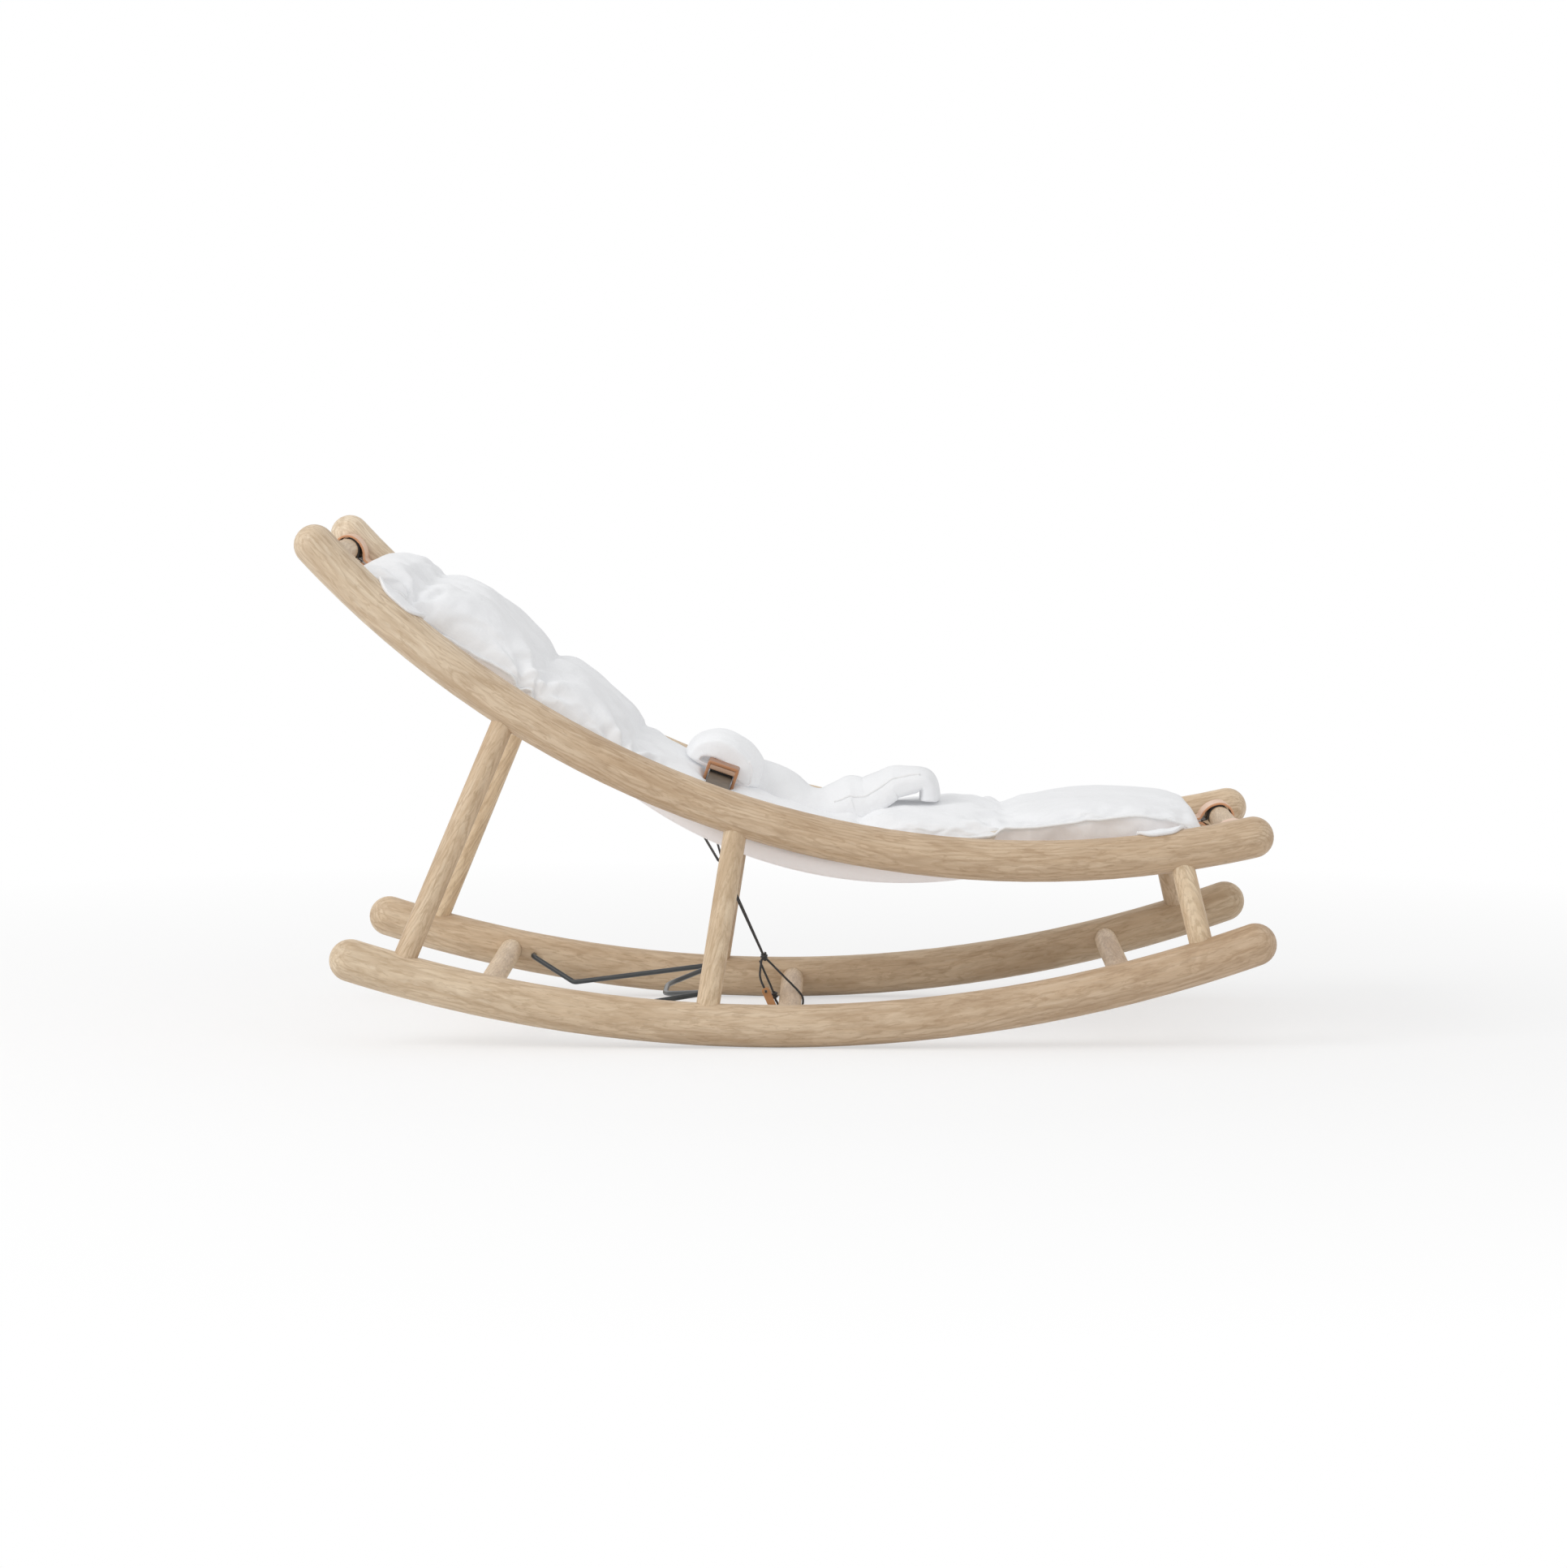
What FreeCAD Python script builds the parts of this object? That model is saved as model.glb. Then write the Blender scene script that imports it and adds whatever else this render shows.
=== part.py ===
import FreeCAD, Part

import math
import os

# A small child's rocker of round pale oak. Two bent rockers and two bent rails are joined by
# uprights and cross dowels. A cloth sling with a quilted cushion and a strap harness hangs
# between the top dowels, a cord sets the slope of the sling, and a wire stand under the seat
# swings down to stop the rocking.
# X runs from the head end to the foot end, Y across to the far side, and Z up.
# The origin is on the floor under the middle of the outline. Sizes are in millimetres.

# rockers and rails: round poles bent to one radius, with domed ends
rocker_diameter = 40.0
rocker_bend_radius = 1330.0
rocker_low_x = -7.5
rocker_head_x = -406.5
rocker_foot_x = 440.0
rocker_spacing = 391.0
rail_diameter = 39.0
rail_bend_radius = 919.0
rail_low_x = 235.5
rail_low_height = 172.5
rail_head_overhang = 8.0
rail_foot_overhang = 12.5
rail_spacing = 330.0

# round dowels glued into blind sockets
dowel_diameter = 22.0
rear_upright_rocker_x = -362.0
rear_upright_rail_x = -258.5
middle_upright_rocker_x = -74.5
middle_upright_rail_x = -44.0
front_upright_rocker_x = 393.5
front_upright_run = 57.0
rear_dowel_x = -282.0
middle_dowel_x = 3.0
front_dowel_x = 319.0
head_dowel_x = -432.5
head_dowel_sink = 7.0
foot_dowel_x = 427.0
foot_dowel_sink = 1.0
socket_short_of_centre = 5.0
glue_gap = 0.1
socket_end_gap = 0.5
overrun = 5.0

# wire stand: one bent rod, hinged in the rockers' inner faces
stand_rod_diameter = 5.0
stand_hinge_x = -258.5
stand_hinge_depth = 13.0
stand_hinge_clearance = 0.08
stand_shoulder_inset = 11.0
stand_elbow_run = 42.5
stand_elbow_drop = 23.5
stand_elbow_inset = 35.0
stand_corner_run = 187.0
stand_corner_drop = 2.0
stand_corner_inset = 61.0
stand_nose_run = 140.5
stand_nose_drop = 13.0
stand_nose_half_width = 38.0
stand_shoulder_bend = 7.0
stand_elbow_bend = 9.0
stand_corner_bend = 10.0
stand_nose_bend = 55.0

# sling: straight from each top dowel, with one round bend under the seat
sling_low_x = 112.0
sling_low_height = 148.5
sling_bend_radius = 440.0
sling_thickness = 3.0
sling_overhang = 4.0
sling_end_reach = 28.0

# leather loops, steel hooks and webbing tabs that hang the sling on the top dowels
loop_thickness = 2.2
loop_width = 42.0
loop_rail_gap = 1.5
foot_loop_inset = 16.0
loop_slack = 0.3
loop_waist_bend = 4.0
loop_cheek_bend = 21.5
loop_tail = 5.0
hook_thickness = 1.2
hook_width = 38.0
hook_fit = 0.3
hook_heel_bend = 3.0
hook_tongue = 4.5
hook_wrap = math.radians(108)
tab_thickness = 1.6
tab_width = 36.0
sewn_gap = 0.3

# quilted cushion: sewn channels across, a crown and drawn-in sides
cushion_height = 60.0
cushion_rail_gap = 10.5
cushion_gap = 1.3
cushion_end_reach = 30.0
cushion_side_draw = 6.0
cushion_side_share = 0.74
# (share of the length, share of the height, share of the half width)
cushion_station_shares = (
    (0.000, 0.12, 0.93), (0.010, 0.38, 0.95), (0.024, 0.56, 0.96), (0.044, 0.67, 0.97),
    (0.070, 0.64, 0.97), (0.092, 0.90, 0.99), (0.120, 0.98, 1.00), (0.157, 0.97, 1.00),
    (0.194, 0.89, 1.00), (0.220, 0.78, 0.97), (0.238, 0.88, 1.00), (0.266, 0.93, 1.00),
    (0.300, 0.87, 1.00), (0.326, 0.79, 1.00), (0.344, 0.68, 0.98), (0.382, 0.80, 1.00),
    (0.430, 0.82, 1.00), (0.500, 0.81, 1.00), (0.560, 0.81, 1.00), (0.610, 0.82, 1.00),
    (0.630, 0.79, 0.99), (0.660, 0.97, 1.00), (0.735, 1.05, 1.00), (0.770, 0.98, 1.00),
    (0.796, 0.84, 0.97), (0.820, 0.92, 1.00), (0.855, 0.97, 1.00), (0.905, 0.88, 1.00),
    (0.940, 0.76, 0.99), (0.970, 0.60, 0.98), (0.990, 0.44, 0.96), (1.000, 0.14, 0.94))

# harness: a padded hood over the seat that runs out into an arched strap
hood_start_share = 0.403
hood_end_share = 0.498
hood_brow_share, hood_brow_lift = 0.411, 33.0
hood_crown_share, hood_crown_lift = 0.448, 44.0
hood_hem_lift = 33.0
hood_nose_share, hood_nose_lift = 0.4, 17.0
hood_half_width = 64.0
# (share of the half width, share of the lifts)
hood_rib_shares = ((-1.0, 0.55), (-0.86, 0.82), (-0.45, 0.97), (0.0, 1.0),
                   (0.45, 0.97), (0.86, 0.82), (1.0, 0.55))
strap_thickness = 14.0
strap_half_width = 38.0
strap_edge_round = 5.0
strap_root_droop = 1.0
strap_steps_per_thickness = 1.6
hood_lift_gap = 2.2
strap_lift_gap = 2.8
# (share of the cushion's length, lift of the middle line, bend radius, droop of the edges)
strap_corners = ((0.480, 23.0, 0.0, 13.0), (0.530, 23.0, 60.0, 12.0), (0.573, 9.0, 34.0, 3.0),
                 (0.614, 31.5, 50.0, 18.0), (0.675, 32.5, 90.0, 6.0), (0.718, 32.0, 12.0, 1.5))

# leather keepers at the ends of the cross bar, with the side belts through them
keeper_share = 0.450
keeper_width = 31.0
keeper_height = 26.0
keeper_depth = 19.0
keeper_wall = 3.0
keeper_brow = 8.0
keeper_corner = 2.5
keeper_inner_edge = 66.0
keeper_sink = 5.5
keeper_fit = 0.4
keeper_turn = math.radians(8)
belt_thickness = 2.6
belt_width = 23.0
belt_clearance = 1.0
belt_bend = 8.0
belt_end_rise = 19.0

# small cloth pieces
tie_thickness = 2.0
tie_length = 46.0
tie_fit = 0.3
tie_head_run = 58.5
tie_foot_run = 84.0
tie_outer_angle = math.radians(-38)
tie_inner_angle = math.radians(80)
label_share = 0.783
label_width = 8.0
label_drop = 15.0
label_thickness = 0.9
label_fit = 0.9

# seat cord: doubled from a webbing anchor to a knot, then lashed round the middle dowel
cord_diameter = 2.2
cord_fit = 0.15
anchor_x = -79.0
anchor_arm_spread = 10.0
anchor_lean_run = 20.0
anchor_drop = 46.0
anchor_thickness = 1.5
anchor_width = 14.0
cord_side = 10.8
cord_turn_bend = 3.3
knot_diameter = 8.0
knots_y = -4.0
upper_knot_x = -22.5
upper_knot_height = 63.5
lower_knot_x = -12.5
lower_knot_height = 25.5
lashing_end_offset = 4.0
tail_y = -7.0
tail_bulge_x = -26.5
tail_bulge_height = 47.0
tail_turn_x = -20.5
tail_turn_height = 30.5
tail_end_y = -17.0
tail_bend = 3.4

# leather pull tag, hinged on the cord's end
tag_width = 7.5
tag_thickness = 2.2
tag_length = 29.0
tag_hole_from_end = 3.4
tag_hole_clearance = 0.4
tag_lean = math.radians(24)
tag_y = -13.5

rocker_radius = rocker_diameter / 2
rail_radius = rail_diameter / 2
dowel_radius = dowel_diameter / 2
rocker_side = rocker_spacing / 2
rail_side = rail_spacing / 2
rail_head_x = head_dowel_x - rail_head_overhang
rail_foot_x = foot_dowel_x + rail_foot_overhang
front_upright_rail_x = foot_dowel_x - front_upright_run
tie_head_x = head_dowel_x + tie_head_run
tie_foot_x = foot_dowel_x - tie_foot_run
cushion_half_width = rail_side - rail_radius - cushion_rail_gap
sling_half_width = cushion_half_width + sling_overhang
loop_inner_edge = rail_side - rail_radius - loop_rail_gap - loop_width
across = FreeCAD.Vector(0, 1, 0)
upper_knot = FreeCAD.Vector(upper_knot_x, knots_y, upper_knot_height)
lower_knot = FreeCAD.Vector(lower_knot_x, knots_y, lower_knot_height)
tail_bulge = FreeCAD.Vector(tail_bulge_x, tail_y, tail_bulge_height)
tail_turn = FreeCAD.Vector(tail_turn_x, tail_y, tail_turn_height)
sides = (("right", -1), ("left", 1))


def vec(x, y, z):
    return FreeCAD.Vector(x, y, z)


def toward(angle):
    # a unit step in the XZ plane, at an angle above +X
    return vec(math.cos(angle), 0, math.sin(angle))


def left_of(angle):
    return vec(-math.sin(angle), 0, math.cos(angle))


def bent_height(low_height, bend_radius, low_x, x):
    return low_height + bend_radius - math.sqrt(bend_radius ** 2 - (x - low_x) ** 2)


def rocker_point(x, side=0.0):
    return vec(x, side, bent_height(rocker_radius, rocker_bend_radius, rocker_low_x, x))


def rail_point(x, side=0.0):
    return vec(x, side, bent_height(rail_low_height, rail_bend_radius, rail_low_x, x))


def top_dowel_point(x, sink, side=0.0):
    # a place under the rail's centre line, on the outer side of the bend
    lean = math.asin((x - rail_low_x) / rail_bend_radius)
    return rail_point(x, side) - left_of(lean) * sink


def bent_pole(low_x, low_height, bend_radius, head_x, foot_x, side, radius):
    # a torus stretch between two half spheres
    centre = vec(low_x, side, low_height + bend_radius)
    head_angle = math.asin((head_x - low_x) / bend_radius)
    foot_angle = math.asin((foot_x - low_x) / bend_radius)
    head = centre + toward(head_angle - math.pi / 2) * bend_radius
    foot = centre + toward(foot_angle - math.pi / 2) * bend_radius
    section = Part.Face(Part.Wire(Part.makeCircle(radius, head, toward(head_angle))))
    turn = math.degrees(foot_angle - head_angle)
    pole = section.revolve(centre, across * -1, turn)
    head_dome = Part.makeSphere(radius, head, toward(head_angle) * -1, 0, 90, 360)
    foot_dome = Part.makeSphere(radius, foot, toward(foot_angle), 0, 90, 360)
    return pole.fuse([head_dome, foot_dome]).removeSplitter()


def rod_between(start, end, radius):
    step = end - start
    return Part.makeCylinder(radius, step.Length, start, step)


def socket(centre_end, far_end, radius):
    # the bore for a dowel that stops short of a pole's centre line
    step = (far_end - centre_end).normalize()
    start = centre_end + step * (socket_short_of_centre - socket_end_gap)
    return Part.makeCylinder(radius + glue_gap, rocker_diameter + overrun, start, step)


def upright_ends(rocker_x, rail_x, sign):
    return rocker_point(rocker_x, sign * rocker_side), rail_point(rail_x, sign * rail_side)


uprights = (("rear", rear_upright_rocker_x, rear_upright_rail_x),
            ("middle", middle_upright_rocker_x, middle_upright_rail_x),
            ("front", front_upright_rocker_x, front_upright_rail_x))
low_dowels = (("rear", rear_dowel_x), ("middle", middle_dowel_x), ("front", front_dowel_x))
top_dowels = (("head", head_dowel_x, head_dowel_sink), ("foot", foot_dowel_x, foot_dowel_sink))


def upright(rocker_x, rail_x, sign):
    low, high = upright_ends(rocker_x, rail_x, sign)
    step = (high - low).normalize() * socket_short_of_centre
    return rod_between(low + step, high - step, dowel_radius)


def cross_dowel(point, side):
    reach = side - socket_short_of_centre
    return rod_between(point - across * reach, point + across * reach, dowel_radius)


def rocker(sign):
    side = sign * rocker_side
    pole = bent_pole(rocker_low_x, rocker_radius, rocker_bend_radius,
                     rocker_head_x, rocker_foot_x, side, rocker_radius)
    bores = []
    for _, rocker_x, rail_x in uprights:
        low, high = upright_ends(rocker_x, rail_x, sign)
        bores.append(socket(low, high, dowel_radius))
    for _, x in low_dowels:
        bores.append(socket(rocker_point(x, side), rocker_point(x), dowel_radius))
    hinge = vec(stand_hinge_x, sign * (rocker_side - rocker_radius + stand_hinge_depth + socket_end_gap),
                rocker_point(stand_hinge_x).z)
    bores.append(Part.makeCylinder(stand_rod_diameter / 2 + stand_hinge_clearance,
                                   rocker_radius + overrun, hinge, across * -sign))
    return pole.cut(bores)


def rail(sign):
    side = sign * rail_side
    pole = bent_pole(rail_low_x, rail_low_height, rail_bend_radius,
                     rail_head_x, rail_foot_x, side, rail_radius)
    bores = []
    for _, rocker_x, rail_x in uprights:
        low, high = upright_ends(rocker_x, rail_x, sign)
        bores.append(socket(high, low, dowel_radius))
    for _, x, sink in top_dowels:
        bores.append(socket(top_dowel_point(x, sink, side), top_dowel_point(x, sink), dowel_radius))
    return pole.cut(bores)


def filleted_path(points, bends):
    # straight runs joined by tangent arcs, one bend radius for each inner point
    edges = []
    last = points[0]
    for before, corner, after, bend in zip(points, points[1:], points[2:], bends):
        inward = (before - corner).normalize()
        outward = (after - corner).normalize()
        half_turn = (math.pi - inward.getAngle(outward)) / 2
        setback = bend * math.tan(half_turn)
        middle = (inward + outward).normalize()
        start = corner + inward * setback
        end = corner + outward * setback
        top = corner + middle * (bend / math.cos(half_turn) - bend)
        if (start - last).Length > glue_gap:
            edges.append(Part.LineSegment(last, start).toShape())
        edges.append(Part.Arc(start, top, end).toShape())
        last = end
    edges.append(Part.LineSegment(last, points[-1]).toShape())
    return Part.Wire(edges)


def tube_along(points, bends, diameter):
    path = filleted_path(points, bends)
    first = path.Edges[0]
    heading = first.tangentAt(first.FirstParameter)
    section = Part.Wire(Part.makeCircle(diameter / 2, points[0], heading))
    return path.makePipeShell([section], True, False)


def stand_points():
    hinge_height = rocker_point(stand_hinge_x).z
    inner_face = rocker_side - rocker_radius
    half = [vec(0, inner_face + stand_hinge_depth, 0),
            vec(0, inner_face - stand_shoulder_inset, 0),
            vec(stand_elbow_run, inner_face - stand_elbow_inset, -stand_elbow_drop),
            vec(stand_corner_run, inner_face - stand_corner_inset, -stand_corner_drop),
            vec(stand_nose_run, stand_nose_half_width, -stand_nose_drop)]
    half = [vec(stand_hinge_x, 0, hinge_height) + point for point in half]
    return half + [vec(point.x, -point.y, point.z) for point in reversed(half)]


def stand():
    half_bends = [stand_shoulder_bend, stand_elbow_bend, stand_corner_bend, stand_nose_bend]
    return tube_along(stand_points(), half_bends + half_bends[::-1], stand_rod_diameter)


def walk(start, heading, runs):
    # yields (place, heading, length, turn) at the start of each run, then the end
    place = start
    for length, turn in runs:
        yield place, heading, length, turn
        if turn:
            radius = length / turn
            centre = place + left_of(heading) * radius
            heading = heading + turn
            place = centre - left_of(heading) * radius
        else:
            place = place + toward(heading) * length
    yield place, heading, 0, 0


def offset_place(place, heading, length, turn, share, offset):
    # a point beside the path, at a share of one run and an offset to the left
    if not turn:
        return place + toward(heading) * (length * share) + left_of(heading) * offset
    radius = length / turn
    centre = place + left_of(heading) * radius
    return centre - left_of(heading + turn * share) * (radius - offset)


def strip(start, heading, runs, thickness, side, width):
    # a flat strip of even thickness whose edge follows straight runs and bends in XZ,
    # carried across from side to side + width
    stops = list(walk(start, heading, runs))
    rims = []
    for offset in (thickness / 2, -thickness / 2):
        rim = []
        for place, angle, length, turn in stops[:-1]:
            first, middle, last = (offset_place(place, angle, length, turn, share, offset)
                                   for share in (0, 0.5, 1))
            curve = Part.Arc(first, middle, last) if turn else Part.LineSegment(first, last)
            rim.append(curve.toShape())
        rims.append(rim)
    left, right = rims
    end_caps = []
    for stop in (stops[0], stops[-1]):
        place, angle = stop[0], stop[1]
        corners = [place + left_of(angle) * offset for offset in (thickness / 2, -thickness / 2)]
        end_caps.append(Part.LineSegment(*corners).toShape())
    wire = Part.Wire(Part.__sortEdges__(left + right + end_caps))
    face = Part.Face(wire)
    face.translate(across * side)
    return face.extrude(across * width)


def runs_through(points, bends):
    # the runs of a path in XZ through corner points, with a bend radius at each inner one
    steps = [after - before for before, after in zip(points, points[1:])]
    headings = [math.atan2(step.z, step.x) for step in steps]
    runs = []
    setback = 0
    for index, step in enumerate(steps):
        if index < len(bends):
            turn = math.remainder(headings[index + 1] - headings[index], 2 * math.pi)
            next_setback = bends[index] * abs(math.tan(turn / 2))
            runs.append((step.Length - setback - next_setback, 0))
            runs.append((bends[index] * abs(turn), turn))
            setback = next_setback
        else:
            runs.append((step.Length - setback, 0))
    return headings[0], runs


class Sling:
    # the sling's middle line: a tangent from each top dowel to one round bend
    def __init__(self):
        self.head = top_dowel_point(head_dowel_x, head_dowel_sink)
        self.foot = top_dowel_point(foot_dowel_x, foot_dowel_sink)
        self.centre = vec(sling_low_x, 0, sling_low_height + sling_bend_radius)
        self.head_slope, self.head_run = self.tangent(self.head)
        self.foot_slope, self.foot_run = self.tangent(self.foot)
        self.bend_run = sling_bend_radius * (self.head_slope + self.foot_slope)
        self.length = self.head_run + self.bend_run + self.foot_run

    def tangent(self, dowel):
        # the slope at which a line from the dowel's centre touches the bend, and its length
        away = dowel - self.centre
        lean = math.atan2(abs(away.x), -away.z)
        return (lean - math.acos(sling_bend_radius / away.Length),
                math.sqrt(away.Length ** 2 - sling_bend_radius ** 2))

    def frame_at(self, distance):
        # place and heading at a distance along the line from the head dowel's centre
        if distance < self.head_run:
            return self.head + toward(-self.head_slope) * distance, -self.head_slope
        distance -= self.head_run
        if distance < self.bend_run:
            angle = distance / sling_bend_radius - self.head_slope
            return self.centre - left_of(angle) * sling_bend_radius, angle
        back = self.foot_run - (distance - self.bend_run)
        return self.foot - toward(self.foot_slope) * back, self.foot_slope

    def runs(self, reach):
        return [(self.head_run - reach, 0),
                (self.bend_run, self.head_slope + self.foot_slope),
                (self.foot_run - reach, 0)]


sling_line = Sling()


def sling():
    start = sling_line.frame_at(sling_end_reach)[0]
    return strip(start, -sling_line.head_slope, sling_line.runs(sling_end_reach),
                 sling_thickness, -sling_half_width, 2 * sling_half_width)


# Each corner's hanging pieces are drawn beside one top dowel. The pull is the direction from
# the dowel to the sling, and over is 1 where the piece climbs to the left of that direction.
# The foot end's pieces sit further in along the dowel.
loop_middle = loop_inner_edge + loop_width / 2
corners = (("head", sling_line.head, -sling_line.head_slope, 1, loop_middle),
           ("foot", sling_line.foot, math.pi + sling_line.foot_slope, -1,
            loop_middle - foot_loop_inset))


def leather_loop(dowel, pull, over, side):
    # over the hook and round the dowel, close to it below, and together over two cheeks
    # at the webbing tab
    hook_room = (hook_fit + hook_thickness) / 2
    wrap = dowel_radius + loop_slack + hook_room + loop_thickness / 2
    tail_offset = tab_thickness / 2 + sewn_gap + loop_thickness / 2
    bends = loop_waist_bend + loop_cheek_bend
    turns = [math.acos(1 - (wrap + shift - tail_offset) / bends)
             for shift in (hook_room, -hook_room)]
    reach = bends * math.sin(turns[0]) + loop_tail
    above, below = ([(reach - bends * math.sin(turn), 0), (loop_waist_bend * turn, -over * turn),
                     (loop_cheek_bend * turn, over * turn)] for turn in turns)
    runs = above + [(wrap * math.pi, over * math.pi)] + below[::-1]
    start = dowel + toward(pull) * reach + left_of(pull) * (over * tail_offset)
    return strip(start, pull + math.pi, runs, loop_thickness, side - loop_width / 2, loop_width)


def hook_geometry():
    wrap = dowel_radius + hook_fit + hook_thickness / 2
    lead_in = math.asin(hook_heel_bend / (wrap + hook_heel_bend))
    heel = (wrap + hook_heel_bend) * math.cos(lead_in)
    return wrap, lead_in, heel


def steel_hook(dowel, pull, over, side):
    # a tongue toward the sling, a heel, and a wrap over the top of the dowel
    wrap, lead_in, heel = hook_geometry()
    quarter = math.pi / 2 - lead_in
    runs = [(hook_tongue, 0), (hook_heel_bend * quarter, -over * quarter),
            (wrap * hook_wrap, over * hook_wrap)]
    start = dowel + toward(pull) * (heel + hook_tongue)
    return strip(start, pull + math.pi, runs, hook_thickness, side - hook_width / 2, hook_width)


def webbing_tab(dowel, pull, side):
    # between the leather tails, from the hook's tongue to the sling's end
    inner = hook_geometry()[2] + hook_tongue + sewn_gap
    length = sling_end_reach - sewn_gap - inner
    start = dowel + toward(pull) * inner
    return strip(start, pull, [(length, 0)], tab_thickness, side - tab_width / 2, tab_width)


def cushion_length():
    return sling_line.length - 2 * cushion_end_reach


def cushion_shares_at(share):
    # height and width shares between two stations
    for low, high in zip(cushion_station_shares, cushion_station_shares[1:]):
        if share <= high[0]:
            part = (share - low[0]) / (high[0] - low[0])
            return tuple(low[k] + (high[k] - low[k]) * part for k in (1, 2))
    return cushion_station_shares[-1][1:]


def above_sling(share, rise, side=0.0):
    # a point over the sling's middle line, at a share of the cushion's length
    place, angle = sling_line.frame_at(cushion_end_reach + share * cushion_length())
    return place + left_of(angle) * rise + across * side


def cushion_floor():
    return sling_thickness / 2 + cushion_gap


def cushion_crown(share):
    return cushion_floor() + cushion_height * cushion_shares_at(share)[0]


def cushion_section(share):
    # flat below, drawn in along the lower edge, bulging sides and a crowned top
    height_share, width_share = cushion_shares_at(share)
    half = cushion_half_width * width_share
    foot = half - cushion_side_draw
    low = cushion_floor()
    high = cushion_crown(share)
    shoulder = low + (high - low) * cushion_side_share
    waist = (low + shoulder) / 2
    sole = [above_sling(share, low, side) for side in (-foot, foot)]
    brow = [above_sling(share, shoulder, side) for side in (foot, -foot)]
    edges = [Part.LineSegment(sole[0], sole[1]),
             Part.Arc(sole[1], above_sling(share, waist, half), brow[0]),
             Part.Arc(brow[0], above_sling(share, high), brow[1]),
             Part.Arc(brow[1], above_sling(share, waist, -half), sole[0])]
    return Part.Wire([edge.toShape() for edge in edges])


def cushion():
    # with a pocket pressed into its top by each keeper
    sections = [cushion_section(station[0]) for station in cushion_station_shares]
    pad = Part.makeLoft(sections, True, False)
    for sign in (-1, 1):
        pad = pad.cut(keeper_block(sign, keeper_width + 2 * keeper_fit, keeper_depth + 2 * keeper_fit,
                                   -keeper_fit, keeper_height))
    return pad


def crown_at(share, side):
    # the crowned top's height over the sling line, away from the middle
    half = cushion_half_width * cushion_shares_at(share)[1] - cushion_side_draw
    high = cushion_crown(share)
    sagitta = (high - cushion_floor()) * (1 - cushion_side_share)
    radius = (half ** 2 + sagitta ** 2) / (2 * sagitta)
    return high - radius + math.sqrt(radius ** 2 - side ** 2)


def above_cushion(share, lift, side=0.0):
    return above_sling(share, cushion_crown(share) + lift, side)


def hood_rib(side_share, lift_share):
    # flat below, an upright hem toward the strap, a round crown and a blunt nose
    side = side_share * hood_half_width
    sole = [above_cushion(share, hood_lift_gap, side)
            for share in (hood_start_share, hood_end_share)]
    hem = above_cushion(hood_end_share, hood_hem_lift * lift_share, side)
    crown = above_cushion(hood_crown_share, hood_crown_lift * lift_share, side)
    brow = above_cushion(hood_brow_share, hood_brow_lift * lift_share, side)
    nose = above_cushion(hood_nose_share, hood_nose_lift * lift_share, side)
    edges = [Part.LineSegment(sole[0], sole[1]), Part.LineSegment(sole[1], hem),
             Part.Arc(hem, crown, brow), Part.Arc(brow, nose, sole[0])]
    return Part.Wire([edge.toShape() for edge in edges])


def strap_section(place, heading, droop):
    # an arch across the strap with rounded edges
    half = strap_thickness / 2
    upward = left_of(heading)

    def spot(side, rise):
        return place + across * side + upward * rise
    side = strap_half_width
    edges = [Part.Arc(spot(-side, half - droop), spot(0, half), spot(side, half - droop)),
             Part.Arc(spot(side, half - droop), spot(side + strap_edge_round, -droop),
                      spot(side, -half - droop)),
             Part.Arc(spot(side, -half - droop), spot(0, -half), spot(-side, -half - droop)),
             Part.Arc(spot(-side, -half - droop), spot(-side - strap_edge_round, -droop),
                      spot(-side, half - droop))]
    return Part.Wire([edge.toShape() for edge in edges])


def strap_stations(points, bends, droops):
    # (place, heading, droop) at even steps, the droop changing evenly between the bends
    heading, runs = runs_through(points, bends)
    marks = [0.0]
    travelled = 0.0
    for length, turn in runs:
        if turn:
            marks.append(travelled + length / 2)
        travelled += length
    marks.append(travelled)
    steps = round(travelled / strap_thickness * strap_steps_per_thickness)
    stations = []
    for step in range(steps + 1):
        distance = travelled * step / steps
        after = next(k for k in range(1, len(marks)) if distance <= marks[k] + glue_gap)
        part = (distance - marks[after - 1]) / (marks[after] - marks[after - 1])
        droop = droops[after - 1] + (droops[after] - droops[after - 1]) * part
        place, angle = place_along(points[0], heading, runs, distance)
        stations.append((place, angle, droop))
    return stations


def place_along(start, heading, runs, distance):
    # the place and heading at a distance along straight runs and bends
    for place, angle, length, turn in walk(start, heading, runs):
        if distance <= length or not length:
            share = min(distance / length, 1) if length else 0
            return offset_place(place, angle, length, turn, share, 0.0), angle + turn * share
        distance -= length


def harness():
    hood = Part.makeLoft([hood_rib(*shares) for shares in hood_rib_shares], True, False)
    points = [above_cushion(share, lift) for share, lift, _, _ in strap_corners]
    points.append(above_cushion(strap_corners[-1][0], strap_lift_gap))
    bends = [bend for _, _, bend, _ in strap_corners[1:]]
    droops = [droop for _, _, _, droop in strap_corners] + [strap_root_droop]
    stations = strap_stations(points, bends, droops)
    strap = Part.makeLoft([strap_section(*station) for station in stations], True, False)
    return hood.fuse(strap).removeSplitter()


def keeper_lean():
    # the cushion's crown falls away under the keeper by this angle
    inner_crown = crown_at(keeper_share, keeper_inner_edge)
    fall = inner_crown - crown_at(keeper_share, keeper_inner_edge + keeper_depth)
    return math.atan2(fall, keeper_depth)


def keeper_side():
    return keeper_inner_edge + keeper_depth / 2


def keeper_rise():
    # the keeper's middle over the sling, its bottom sunk into the cushion
    return crown_at(keeper_share, keeper_side()) - keeper_sink + keeper_height / 2


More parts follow.
